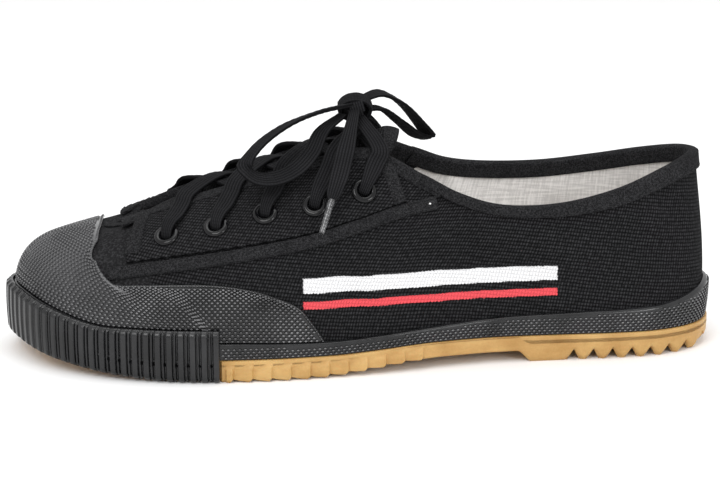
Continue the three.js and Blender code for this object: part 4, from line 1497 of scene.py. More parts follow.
@dataclass
class ToeGuard:
    """The rubber sheet over the toe and along the ball, covered in lozenges."""

    last: Last
    finishes: Finishes
    base: float = 0.75
    nub: tuple[float, float, float] = (0.98, 0.58, 0.6)
    blunt: float = 0.6
    pitch: float = 2.1
    row: float = 1.3
    first_row: float = 0.7
    plain_rim: float = 1.3
    in_step: float = 185.0  # where the rows' lozenges line up, from the heel's back
    across: int = 420
    up: int = 64
    bead: float = 0.42
    bead_pitch: float = 1.15
    vamp_edge: float = 0.864
    vamp_points: int = 160
    side_points: int = 200
    side_edge: tuple[tuple[float, float], ...] = (
        (0.5625, 0.169), (0.577, 0.25), (0.596, 0.331), (0.625, 0.381), (0.659, 0.417),
        (0.704, 0.438), (0.75, 0.438), (0.802, 0.43), (0.843, 0.43), (0.859, 0.475),
        (0.864, 0.512),
    )
    corner: int = 3  # of the side edge's points, where the rear edge becomes the upper edge

    def area(self) -> Array:
        """The sheet's (t, v), from the lateral rear round the toe to the medial rear.

        Returns:
            An array of shape (across, up, 2).
        """
        last = self.last
        share = self.corner / (len(self.side_edge) - 1)
        cut = int(share * (self.side_points - 1))
        sides = [last.place(side, self.side_edge, self.side_points) for side in Side]
        rears = [line[:cut + 1] for line in sides]
        lateral, medial = (line[cut:] for line in sides)
        edge = self.vamp_edge * last.length
        t = np.linspace(lateral[-1, 0], medial[-1, 0], self.vamp_points)[1:-1]
        v = last.first_v(t, lambda p: edge - p[..., 0])
        inward = np.arange(len(t))
        blend = np.minimum(1, np.minimum(inward, inward[::-1]) / 12)
        straight = np.interp(t, t[[0, -1]], (lateral[-1, 1], medial[-1, 1]))
        over = np.stack([t, straight * (1 - blend) + v * blend], 1)
        top = np.vstack([lateral, over, medial[::-1]])
        low_t = np.linspace(rears[0][0, 0], rears[1][0, 0], 300)
        low_v = last.first_v(low_t, lambda p: p[..., 2] - last.foxing_top(p[..., 0]) - GAP)
        bottom = np.stack([low_t, low_v], 1)
        rears[0][0] = bottom[0]
        rears[1][0] = bottom[-1]
        return patch(bottom, top, rears[0], rears[1], self.across, self.up)

    def build(self) -> None:
        """Makes the sheet, its lozenges and the beads along its edge."""
        last = self.last
        places = self.area()
        t, v = places[..., 0], places[..., 1]
        points, normals = last.offset(t, v, GAP + self.base), last.normal(t, v)
        builder = Builder()
        builder.shell(points, last.offset(t, v, GAP))
        self._nubs(builder, points, normals)
        rims = []
        for grid in (points, normals):
            rims.append(np.vstack([grid[0, 1:], grid[1:-1, -1], grid[-1, ::-1][:-1]]))
        self._rim(builder, *rims)
        # Slot 1 holds the painted highlight of the lozenges' and beads' tops.
        rubber = [self.finishes.toe_rubber, self.finishes.toe_tip_highlight]
        builder.piece("toe_sheet", rubber, "rubber", "toe_guard")

    def _nubs(self, builder: Builder, points: Array, normals: Array) -> None:
        """Sets the lozenges in rows that follow the sheet's lower edge.

        Args:
            builder: the mesh that they join.
            points: the sheet's outer face.
            normals: its normals.
        """
        lengths = run_of(points)
        for k in range(int(lengths[:, -1].max() / self.row)):
            level = self.first_row + k * self.row
            keep = np.flatnonzero(lengths[:, -1] - self.plain_rim > level)
            if len(keep) < 8:
                continue
            place = np.array([np.interp(level, lengths[i], np.arange(self.up)) for i in keep])
            low = np.minimum(place.astype(int), self.up - 2)
            f = (place - low)[:, None]
            at = points[keep, low] * (1 - f) + points[keep, low + 1] * f
            out = normals[keep, low] * (1 - f) + normals[keep, low + 1] * f
            breaks = np.flatnonzero(np.diff(keep) > 1) + 1
            for line, face in zip(np.split(at, breaks), np.split(out, breaks)):
                run = run_of(line)
                want = self._in_step(line, run, k % 2 / 2)
                if len(want) < 1:
                    continue
                along = at_runs(np.gradient(line, axis=0), run, want)
                foot, face = at_runs(line, run, want), unit(at_runs(face, run, want))
                builder.studs(foot, unit(along), face, self.nub, self.blunt, 0, 1)

    def _in_step(self, line: Array, run: Array, phase: float) -> Array:
        """Distances along a row that keep step with the other rows on both sides of the foot.

        Args:
            line: the row's points.
            run: distances along it.
            phase: the row's shift, as a share of the pitch.

        Returns:
            The distances, which are a round number of pitches apart at x = in_step.
        """
        half = len(line) // 2
        first = np.interp(self.in_step, line[:half, 0], run[:half])
        final = np.interp(self.in_step, line[:half:-1, 0], run[:half:-1])
        first -= max(0.0, line[0, 0] - self.in_step)
        final += max(0.0, line[-1, 0] - self.in_step)
        pitch = (final - first) / round((final - first) / self.pitch)
        start = math.ceil((0.8 - first) / pitch - phase)
        stop = math.floor((run[-1] - 0.8 - first) / pitch - phase)
        return first + (np.arange(start, stop + 1) + phase) * pitch

    def _rim(self, builder: Builder, edge: Array, out: Array) -> None:
        """Lays a fine rolled rim with beads along the upper and rear edges.

        Args:
            builder: the mesh that it joins.
            edge: points along the edges.
            out: the normals there.
        """
        line = resample(np.hstack([edge, out]), 520)
        normal = unit(line[:, 3:])
        centre = line[:, :3] - normal * 0.15
        side = unit(np.cross(unit(np.gradient(centre, axis=0)), normal))
        builder.tube(centre[:, None] + 0.5 * circle(side[:, None], normal[:, None], 10))
        count = int(run_of(centre)[-1] / self.bead_pitch)
        beads = resample(np.hstack([centre, normal]), count)
        tangent, face = unit(np.gradient(beads[:, :3], axis=0)), unit(beads[:, 3:])
        builder.studs(beads[:, :3] + face * 0.35, tangent, face, (self.bead,) * 3, 0.55, 0, 1)


@dataclass
class Bumper:
    """The ribbed rubber wrap round the toe: wide and narrow ribs, with pits in its grooves."""

    last: Last
    finishes: Finishes
    inner: float = 2.8
    depth: float = 2.6
    rib: float = 0.8
    narrow: float = 0.55
    pitch: float = 4.4
    columns: int = 16
    lift: float = 0.6
    curl: float = 2.2
    height: float = 22.0
    pit: float = 0.9
    pits_at: float = 0.775  # of the length, the middle of the pitted stretch
    deeper: float = 0.5

    def build(self) -> None:
        """Makes the wrap."""
        last = self.last
        t = np.linspace(5, last.count - 5, 4000)
        t = t[last.bare(t, 0)[:, 0] >= BUMPER_END * last.length]
        outline = last.bare(t, 0) + last.plan_normal(t) * (self.inner + self.depth)
        run = run_of(outline[:, :2])
        ribs = round(run[-1] / self.pitch)
        share = np.linspace(0, ribs, ribs * self.columns + 1)
        t = np.interp(share / ribs * run[-1], run, t)
        foot, out = last.bare(t, 0), last.plan_normal(t)
        x, part = foot[:, 0], share % 1
        high, low = last.bumper_top(x), last.spring(x) + self.lift
        wall = last.bare(t, last.first_v(t, self._height_over))
        lean = np.minimum(0, ((wall - foot) * out).sum(1))
        near = np.abs(x - self.pits_at * last.length) < 0.075 * last.length
        pits = (part > 0.58) & (part < 0.76) & near
        face = self.inner + self.depth - self.rib - self.deeper
        relief = self._relief(part)
        rise = relief * (self.rib + self.deeper) / self.rib
        rows = []
        for level, away, on_face in self._section():
            reach = away + lean * level
            if on_face:
                bulge = 0.35 * math.sin(math.pi * min(1, max(0, level)))
                fade = float(smooth(1.0, 0.93, level) * smooth(0.0, 0.06, level))
                reach = reach + bulge + rise * max(fade, 0.35) + face
                if 0.3 < level < 0.36:
                    reach = reach - self.pit * pits
            point = foot + out * reach[:, None]
            scallop = rise / self.rib * 0.5 * (1 - level) ** 8
            point[:, 2] = low + (high - low) * level - scallop
            rows.append(point)
        builder = Builder()
        builder.tube(np.stack(rows, 1))
        self._beads(builder, np.stack([t, share, low, high, lean]), face)
        builder.piece("toe_wrap", [self.finishes.rubber], "rubber", "toe_bumper", sharp=50)

    def _height_over(self, points: Array) -> Array:
        """How far points stand over the wrap's upper edge."""
        return points[..., 2] - self.last.bumper_top(points[..., 0])

    def _relief(self, part: Array) -> Array:
        """The ribs' height over a pitch, from 0 to 1: one wide rib and one narrow one."""
        wide, narrow = (0.0, 0.08, 0.53, 0.62), (0.7, 0.77, 0.87, 0.94)
        return self.rib * mound(wide, part) + self.narrow * mound(narrow, part)

    def _section(self) -> list[tuple[float, float, bool]]:
        """The wrap's section, from the inner top edge over the face to the inner low edge.

        Returns:
            The share of the height, the way out, and whether it is on the face, of each point.
        """
        section = [(0.995, self.inner, False), (1.0, -self.depth + self.rib + 1.0, True)]
        section += [(1.0, -0.9, True), (0.995, -0.45, True), (0.975, -0.1, True), (0.94, 0, True)]
        section += [(level, 0, True) for level in np.linspace(0.88, 0.14, 26)]
        for angle in np.radians(np.linspace(15, 90, 6)):
            drop, back = 1 - math.sin(angle), 1 - math.cos(angle)
            section.append((self.curl * drop / self.height, -self.curl * back, True))
        section.append((0.0, self.inner, False))
        return section

    def _beads(self, builder: Builder, profile: Array, face: float) -> None:
        """Sets a square bead in each groove of the pitted stretch, under half way up.

        Args:
            builder: the mesh that they join.
            profile: rows of t, ribs passed, low edge, high edge and lean, round the toe.
            face: how far out the grooves lie.
        """
        level = 0.4
        share = profile[1]
        whole = np.arange(int(share[-1])) + 0.59
        at, _, low, high, lean = (np.interp(whole, share, row) for row in profile)
        foot, out = self.last.bare(at, 0), self.last.plan_normal(at)
        near = np.abs(foot[:, 0] - self.pits_at * self.last.length) < 0.08 * self.last.length
        point = foot + out * (face + 0.3 + lean * level)[:, None]
        point[:, 2] = low + (high - low) * level
        along = unit(np.cross(UP, out) + UP)
        builder.studs(point[near], along[near], out[near], (0.75, 0.75, 0.5), 0.7)


@dataclass
class Outsole:
    """The gum sole: smooth upper band, toothed lower band, lugs and grooves underneath."""

    last: Last
    finishes: Finishes
    edge: float = 2.5
    lip: float = 0.9
    tread: float = 4.4
    arch_lift: float = 4.3
    arch_start: float = 0.271
    arch_end: float = 0.589
    bevel: float = 5.0
    bevel_length: float = 11.0
    heel_pitch: float = 7.8
    heel_notch: float = 4.6
    fore_start: float = 0.425
    fore_pitch: float = 7.2
    fore_groove: float = 1.5
    tooth: float = 1.5
    sag: float = 1.1
    rings: int = 1600
    shares: int = 26
    side_levels: tuple[float, ...] = (0.92, 0.84, 0.74, 0.63, 0.52, 0.42, 0.32, 0.23, 0.15, 0.09)
    fore: float = field(init=False)
    front: float = field(init=False)
    notched: float = field(init=False)

    def __post_init__(self) -> None:
        """Works out where the forefoot's teeth start and stop, and the last heel notch."""
        self.fore = self.fore_start * self.last.length
        self.front = BUMPER_END * self.last.length
        self.notched = HEEL_REST + 2.5 * self.heel_pitch

    def bottom(self, x: Array) -> Array:
        """The height of the sole's underside without its tread.

        Args:
            x: distances from the heel's back.

        Returns:
            The heights.
        """
        length = self.last.length
        start, stop = self.arch_start * length, self.arch_end * length
        arch = mound((start, start + 6, stop - 0.196 * length, stop), x)
        return self.last.spring(x) + self.arch_lift * arch + self.bevel * self._heel(x)

    def _heel(self, x: Array) -> Array:
        """The bevel under the heel's back, from 0 to 1."""
        return np.minimum(1, np.maximum(0, 1 - np.maximum(x, -3) / self.bevel_length) ** 1.5)

    def _off_notch(self, along: Array) -> Array:
        """How far a place is from the middle of the nearest heel notch."""
        half = self.heel_pitch / 2
        return np.abs((along + half) % self.heel_pitch - half)

    def _notch(self, off: Array) -> Array:
        """A notch's depth, off millimetres from its middle."""
        return np.maximum(0, 1 - off / (self.heel_notch / 2)) * self.tread

    def cut(self, x: Array, y: Array) -> Array:
        """How deep the tread is cut at a place.

        Args:
            x: distances from the heel's back.
            y: distances from the middle.

        Returns:
            The depths of the heel's notches and the forefoot's grooves.
        """
        heel = self._notch(self._off_notch(x - self.notched))
        heel = heel * (x > self.heel_pitch) * (x < self.notched + self.heel_notch / 2)
        back = self._notch(self._off_notch(y)) * 0.8
        back = back * smooth(9, 5, x) * (np.abs(y) < 2.5 * self.heel_pitch)
        past = (x - self.fore) % self.fore_pitch
        groove = self.fore_groove * mound((-0.1, 0.1, 0.3, 1.6), past)
        groove = groove * (x > self.fore) * (x < self.last.length - 3 * self.fore_pitch)
        return heel + back + groove

    def teeth(self, x: Array) -> Array:
        """How far the forefoot's teeth stand out.

        Args:
            x: distances from the heel's back.

        Returns:
            The distances out of the sole's side.
        """
        past = (x - self.fore) % self.fore_pitch
        shape = np.maximum(0, 1 - past / (self.fore_pitch - 0.4)) ** 0.8 * smooth(0, 0.5, past)
        return self.tooth * shape * ((x > self.fore) & (x < self.front - 2))

    def phase(self, x: Array) -> Array:
        """The share of a forefoot tooth, from its proud rear end to its toe end."""
        return (x - self.fore) % self.fore_pitch / self.fore_pitch

    def scoop(self, x: Array, up: Array) -> Array:
        """How far the heel's notches scoop into the side, which leaves pointed facets.

        Args:
            x: distances from the heel's back.
            up: heights over the underside.

        Returns:
            The distances in.
        """
        wide = 0.52 * self.heel_pitch * (1.12 - up / self.tread)
        inside = mound((4, 8, self.notched + 3, self.notched + 6), x)
        return 0.75 * np.maximum(0, wide - self._off_notch(x - self.notched)) * inside

    def build(self) -> None:
        """Makes the sole."""
        last = self.last
        t = np.linspace(0, last.count, self.rings, endpoint=False)
        foot, out = last.bare(t, 0), last.plan_normal(t)
        ahead = smooth(self.front - 0.7, self.front, foot[:, 0])
        ring = foot + out * (self.edge + self.lip - (self.lip + 0.15) * ahead)[:, None]
        x, y = ring[:, 0], ring[:, 1]
        top, low = last.sole_top(x), self.bottom(x)
        middle = (top + low + self.tread - 0.55 * self.bevel * self._heel(x)) / 2
        phase = self.phase(x)
        toothed = mound((self.fore, self.fore + 1, self.front - 6, self.front), x)
        raised = low + self.cut(x, y) + self.sag * phase**1.5 * toothed
        teeth = self.teeth(x) * (1 - ahead)
        levels = [
            (-1.2, top), (-0.35, top), (-0.08, top - 0.15), (0.0, top - 0.5),
            (0.0, middle + 0.6), (0.0, middle - 0.2),
        ]
        for share in self.side_levels:
            z = low + (top - 0.9 - low) * share
            away = teeth * smooth(1.0, 0.62, share + 0.35 * phase) - self.scoop(x, z - low)
            levels.append((away - 0.25 * (share < 0.1), np.maximum(z, raised)))
        levels.append((levels[-1][0] - 0.5, np.maximum(low + 0.05, raised)))
        rows = []
        for away, z in levels:
            point = ring + out * np.broadcast_to(away, x.shape)[:, None]
            point[:, 2] = z
            rows.append(point)
        band = np.stack(rows, 1)
        spine = spine_of(ring, last.length)
        under = inward(band[:, -1], spine, np.linspace(0, 1, self.shares)[1:],
                       lambda a, b: self.bottom(a) + self.cut(a, b))
        over = inward(band[:, 0], spine, np.array([0.5, 1.0]), lambda a, b: last.sole_top(a))
        builder = Builder()
        grid = np.concatenate([over[:, ::-1], band, under], 1)
        builder.skin(grid, out[0], over.shape[1] + 4)
        builder.piece("sole_tread", [self.finishes.gum], "gum", "outsole", sharp=30)


def spine_of(ring: Array, length: float) -> Array:
    """The sole's middle line, straight across from each point of its outline."""
    return np.stack([np.clip(ring[:, 0], 14, 0.925 * length), 0 * ring[:, 0]], 1)


def inward(ring: Array, spine: Array, shares: Array,
           height: Callable[[Array, Array], Array]) -> Array:
    """Rings from an outline in to the sole's middle line.

    Args:
        ring: the outline's points.
        spine: the middle line's x and y for each of them.
        shares: how far in each ring lies, up to 1 at the middle line.
        height: gives the height at x and y.

    Returns:
        Points of shape (around, shares, 3).
    """
    s = shares[None, :, None]
    flat = ring[:, None, :2] * (1 - s) + spine[:, None] * s
    return np.concatenate([flat, height(flat[..., 0], flat[..., 1])[..., None]], -1)


@dataclass
class Insole:
    """The loose cloth-covered sheet inside."""

    last: Last
    finishes: Finishes
    thick: float = 3.6
    inset: float = 2.4
    dish: float = 0.5
    dished_to: float = 80.0
    profile: tuple[tuple[float, float], ...] = (
        (-1.0, 0.0), (0.0, 0.25), (0.0, 0.75), (-0.25, 0.93), (-0.8, 1.0),
    )

    def build(self) -> None:
        """Makes the sheet, a little dished under the heel."""
        last = self.last
        t = np.linspace(0, last.count, 300, endpoint=False)
        foot, out = last.bare(t, 0), last.plan_normal(t)
        base = last.sole_top(foot[:, 0]) + GAP
        rows = []
        for away, level in self.profile:
            point = foot + out * (away - self.inset)
            point[:, 2] = base + self.thick * level
            rows.append(point)
        shares = np.linspace(0, 1, 14)[1:]
        bowl = self.dish * np.sin(math.pi * np.minimum(1, shares * 1.2))
        top = GAP + self.thick
        spine = spine_of(foot, last.length)
        over = inward(rows[-1], spine, shares,
                      lambda x, y: last.sole_top(x) + top - bowl * (x < self.dished_to))
        low = inward(rows[0], spine, shares[3::4], lambda x, y: last.sole_top(x) + GAP)
        grid = np.concatenate([low[:, ::-1], np.stack(rows, 1), over], 1)
        builder = Builder()
        chart = np.vstack([grid, grid[:1]])[..., :2]
        builder.skin(grid, out[0], low.shape[1] + 1, chart)
        builder.piece("insole_sheet", [self.finishes.lining], "lining", "insole")


SEAM_LINE = [
    (0.845, 0.475), (0.779, 0.512), (0.714, 0.547), (0.65, 0.583), (0.589, 0.62), (0.518, 0.681),
    (0.457, 0.738), (0.404, 0.775),
]
STAY_FRONT = [(0.823, 0.55), (0.816, 0.625), (0.804, 0.7), (0.793, 0.775)]
STAY_REAR = [(0.446, 0.781), (0.45, 0.825), (0.459, 0.912), (0.475, 0.981), (0.489, 1.025)]


def ribbon(last: Last, builder: Builder, line: Array, sides: tuple[float, float],
           low: float, high: float) -> None:
    """Lays a tape with soft edges along a line on the wall.

    Args:
        last: the form it lies on.
        builder: the mesh that it joins.
        line: (t, v) along it.
        sides: its two edges, in millimetres to the line's left.
        low: how far its under face stands off the wall.
        high: how far its outer face stands off the wall.
    """
    share = np.r_[0, 0.03, 0.09, np.linspace(0.18, 0.82, 6), 0.91, 0.97, 1]
    across = sides[0] + (sides[1] - sides[0]) * share
    places = last.shifted(line, across)
    t, v = places[..., 0], np.clip(places[..., 1], 0, 1)
    dome = (1 - np.abs(2 * share - 1) ** 7) ** 0.5
    out = low + 0.15 + (high - low - 0.15) * dome
    chart = grid_chart(run_of(last.bare(line[:, 0], line[:, 1])), across)
    builder.shell(last.offset(t, v, out), last.offset(t, v, low), chart)


def sew(last: Last, threads: Builder, line: Array, across: float, out: float) -> None:
    """Sews a row of stitches on the wall.

    Args:
        last: the form they lie on.
        threads: the mesh that they join.
        line: (t, v) of the line that they run beside.
        across: how far to its left, in millimetres.
        out: how far they stand off the wall.
    """
    seam = last.shifted(line, np.array([across]))[:, 0]
    t, v = seam[:, 0], np.clip(seam[:, 1], 0, 1)
    threads.stitches(last.offset(t, v, out), last.normal(t, v))


@dataclass
class LacePanels:
    """The panels that carry the eyelets, edged with narrow tapes and stitched."""

    last: Last
    finishes: Finishes
    seats: list[Seat]
    stay: float = 1.3
    over_seam: float = 2.7
    edge_tape: float = 5.2
    under_throat: float = 3.0
    front_lift: float = 0.6
    rear_lift: float = 0.55

    def build(self) -> None:
        """Makes the panel and the tapes of each side."""
        rods = eyelet_rods(self.seats)
        for side in Side:
            places = self._panel(side, rods)
            self._tapes(side, places)
        bpy.data.objects.remove(rods)

    def _edge_t(self, side: Side, x: float) -> float:
        """The row whose opening edge lies at x.

        Args:
            side: which side of the shoe.
            x: the share of the length from the heel's back.

        Returns:
            The row's t.
        """
        start = 0 if side is Side.LATERAL else self.last.count
        ts = np.linspace(start, self.last.toe, 400)
        return float(np.interp(x * self.last.length, self.last.bare(ts, 1)[:, 0], ts))

    def _panel(self, side: Side, rods: Piece) -> Array:
        """Makes one side's panel, with its eyelets' holes.

        Args:
            side: which side of the shoe.
            rods: what is cut out for the eyelets.

        Returns:
            The panel's grid of (t, v).
        """
        last = self.last
        ends = [self._edge_t(side, stay[-1][0]) for stay in (STAY_FRONT, STAY_REAR)]
        throat = np.stack([np.linspace(*ends, 160), np.ones(160)], 1)
        front = np.vstack([last.place(side, STAY_FRONT, 40), throat[:1]])
        rear = np.vstack([last.place(side, STAY_REAR, 40), throat[-1:]])
        seam = np.array(SEAM_LINE) * [last.length, last.instep_height] + [0, self.over_seam]
        line = curve(seam, 300)
        behind, ahead = (stay[0][0] * last.length for stay in (STAY_REAR, STAY_FRONT))
        line = line[(line[:, 0] < ahead) & (line[:, 0] > behind)]
        bottom = last.locate(side, line[:, 0], line[:, 1])
        bottom = np.vstack([front[:1], bottom, rear[:1]])
        places = patch(bottom, throat, front, rear, 150, 36)
        t, v = places[..., 0], np.clip(places[..., 1], 0, 1)
        builder = Builder()
        builder.shell(last.offset(t, v, GAP + self.stay), last.offset(t, v, GAP), last.chart(t, v))
        made = builder.make(f"eyelet_facing_{side.label}", [self.finishes.canvas])
        cut_out(made, rods)
        settle(made, "canvas", f"lace_panel_{side.label}")
        return places

    def _tapes(self, side: Side, places: Array) -> None:
        """Edges the panel's front and rear with tape, stitched.

        Args:
            side: which side of the shoe.
            places: the panel's grid of (t, v).
        """
        last = self.last
        width, high = -self.edge_tape * side.value, GAP + self.stay
        front = resample(places[0] * PATCH_SCALE, 60) / PATCH_SCALE
        builder, threads = Builder(), Builder()
        for line, lift in ((front, self.front_lift), (places[-1, ::-1], self.rear_lift)):
            line = self._short(line)
            sides = (min(0.0, width), max(0.0, width))
            ribbon(last, builder, line, sides, high - 0.25, high + lift)
            sew(last, threads, line, width * 0.86, high + lift - 0.02)
        label = side.label
        tape, thread = [self.finishes.tape], [self.finishes.thread]
        builder.piece(f"facing_tape_{label}", tape, "tape", f"lace_panel_{label}")
        threads.piece(f"facing_stitches_{label}", thread, "tape")

    def _short(self, line: Array) -> Array:
        """A line without its last few millimetres at the throat.

        Args:
            line: (t, v) along it, either way.

        Returns:
            The rest of the line.
        """
        run = run_of(self.last.bare(line[:, 0], np.clip(line[:, 1], 0, 1)))
        if line[0, 1] > line[-1, 1]:
            return line[run > self.under_throat]
        return line[run < run[-1] - self.under_throat]


@dataclass
class SeamTapes:
    """The tapes over the seams between the quarters and the panels."""

    last: Last
    finishes: Finishes
    width: float = 5.2
    tape: float = 1.1
    tack: float = 0.413  # of the length, the pale tack's place
    rows: tuple[float, float] = (-0.74, 0.74)  # of the half width, the stitches' places

    def build(self) -> None:
        """Makes both tapes with their stitches."""
        last, half, high = self.last, self.width / 2, GAP + self.tape
        for side in Side:
            line = last.place(side, SEAM_LINE, 150)
            builder, threads = Builder(), Builder()
            ribbon(last, builder, line, (-half, half), GAP, high)
            for across in self.rows:
                sew(last, threads, line, half * across, high - 0.05)
            self._tack(threads, line, high)
            label = side.label
            tape = [self.finishes.tape]
            builder.piece(f"seam_band_{label}", tape, "tape", f"seam_tape_{label}")
            both = [self.finishes.thread, self.finishes.white_thread]
            threads.piece(f"seam_stitches_{label}", both, "tape")

    def _tack(self, threads: Builder, line: Array, high: float) -> None:
        """Sews a pale tack near the tape's rear end.

        Args:
            threads: the mesh that it joins.
            line: (t, v) along the tape.
            high: how far the tape stands off the wall.
        """
        points = self.last.bare(line[:, 0], line[:, 1])
        k = int(np.argmin(np.abs(points[:, 0] - self.tack * self.last.length)))
        t, v = line[k:k + 1].T
        along = unit(points[k + 1] - points[k - 1])[None]
        at, out = self.last.offset(t, v, high), self.last.normal(t, v)
        threads.studs(at, along, out, (0.55, 0.45, 0.35), 0.6, 1)


@dataclass
class Binding:
    """A tape folded over the opening's edge, puckered where it bends.

    start and stop are rows. width, outer and inside give, for each row, the outer face's width,
    how far it stands off the wall, and the inner face's width.
    """

    last: Last
    finishes: Finishes
    name: str
    start: float
    stop: float
    width: Callable[[Array], Array]
    outer: Callable[[Array], Array]
    nodes: tuple[str, ...]
    inside: Callable[[Array], Array]
    thick: float = 1.1
    inner: float = 1.4
    pucker: float = 0.2
    rings: int = 560

    def build(self) -> None:
        """Makes the binding and its stitches."""
        last = self.last
        t = np.linspace(self.start, self.stop, self.rings)
        width, full, inside = self.width(t), self.outer(t), self.inside(t)
        edge, out = last.bare(t, 1), last.normal(t, 1)
        up = unit(edge - last.bare(t, 0.97))
        low = -WALL - self.inner
        wave = self._wave(run_of(edge), t)
        rows, around = [], []
        for place, down, away, lively in self._section():
            if place == "over":
                off = low + (full + 0.02 - low) * away
                point = edge + up * down + out * off[:, None]
                around.append(-down - 1)
            elif place == "outside":
                off = full + (away - 1) * self.thick + wave * lively
                point = self._on_wall(t, width * down, off)
                around.append(down * 6)
            else:
                off = low + (1 - away) * self.thick + wave * lively
                point = self._on_wall(t, inside * down, off)
                around.append(-down * 7 - 3)
            rows.append(point)
        builder, threads = Builder(), Builder()
        builder.tube(np.stack(rows, 1), grid_chart(run_of(edge), np.array([*around, around[0]])))
        builder.piece(self.name, [self.finishes.tape], "tape", *self.nodes)
        v = self._down(t, width - 0.9)
        threads.stitches(self._on_wall(t, width - 0.9, full - 0.02), last.normal(t, v))
        threads.piece(f"{self.name}_stitches", [self.finishes.thread], "tape")

    def _wave(self, run: Array, t: Array) -> Array:
        """How far the tape puckers, most towards the collar's front ends.

        Args:
            run: distances along the tape.
            t: its rows.

        Returns:
            The distances out.
        """
        turns = 2 * math.pi * run
        wave = np.sin(turns / 4.6) + 0.6 * np.sin(turns / 2.9 + 1)
        return self.pucker * wave * (0.45 + 0.55 * smooth(4.5, 6.5, np.abs(t)))

    def _on_wall(self, t: Array, down: Array, off: Array) -> Array:
        """Points below the edge by these distances, and off the uncreased wall."""
        v = self._down(t, down)
        return self.last.bare(t, v) + self.last.normal(t, v) * off[:, None]

    def _down(self, t: Array, down: Array) -> Array:
        """The shares of the wall at distances below the edge.

        Args:
            t: rows.
            down: a distance for each.

        Returns:
            The shares.
        """
        v = np.linspace(1, 0.3, 200)
        runs = run_of(self.last.bare(t[:, None], v[None]))
        return np.array([np.interp(far, run, v) for far, run in zip(down, runs)])

    def _section(self) -> list[tuple[str, float, float, float]]:
        """The folded tape's section.

        Returns:
            For each point: where, how far down, how far out, and how much it puckers.
        """
        section = [("outside", 1.0, 0.1, 0), ("outside", 0.99, 0.68, 0.4)]
        section += [("outside", 0.95, 0.94, 0.8)]
        section += [("outside", s, 1.0, 1.0) for s in (0.85, 0.68, 0.5, 0.34, 0.2)]
        for angle in np.linspace(0, math.pi, 9):
            section.append(("over", 1.25 * math.sin(angle), 0.5 + 0.5 * math.cos(angle), 0))
        section += [("inside", s, 1.0, 0.5) for s in (0.2, 0.4, 0.6, 0.8, 0.93)]
        section += [("inside", 1.0, 0.75, 0.3), ("inside", 1.0, 0.1, 0)]
        section += [("inside", s, 0.2, 0) for s in (0.6, 0.25)]
        section += [("over", 0.1, 0.3, 0), ("over", 0.1, 0.7, 0)]
        section += [("outside", s, 0.1, 0) for s in (0.25, 0.6)]
        return section


def bindings(last: Last, finishes: Finishes) -> list[Binding]:
    """The collar's binding round the heel, and the throat's from side to side.

    Args:
        last: the shoe's form.
        finishes: its materials.

    Returns:
        The two bindings.
    """
    full, narrow, tape = 6.2, 3.4, 1.1
    reach, panel, cloth = 7.0, 2.02, 0.75

    def collar_width(t: Array) -> Array:
        """Narrower where the collar dips."""
        return full + (narrow - full) * smooth(2.5, 5, np.abs(t))

    def throat_outer(t: Array) -> Array:
        """Over the panels, and close to the cloth before and behind them."""
        return cloth + (panel - cloth) * mound((131, 135, 225, 230), last.bare(t, 1)[:, 0])

    def throat_inside(t: Array) -> Array:
        """A dark facing behind the panels' rear ends."""
        return 4 + 12 * mound((6.4, 7.4, 7.9, 8.5), np.abs(t - last.toe))

    def even(width: float) -> Callable[[Array], Array]:
        """The same width at every row."""
        return lambda t: np.full(len(t), width)

    collar = Binding(last, finishes, "collar_tape", -reach, reach, collar_width,
                     even(tape + GAP), ("collar_binding",), even(5.8), tape)
    panels = tuple(f"lace_panel_{side.label}" for side in Side)
    throat = Binding(last, finishes, "throat_tape", reach - 0.5, last.count - reach + 0.5,
                     even(4.6), throat_outer, panels, throat_inside, 0.45, 0.5, 0.05)
    return [collar, throat]


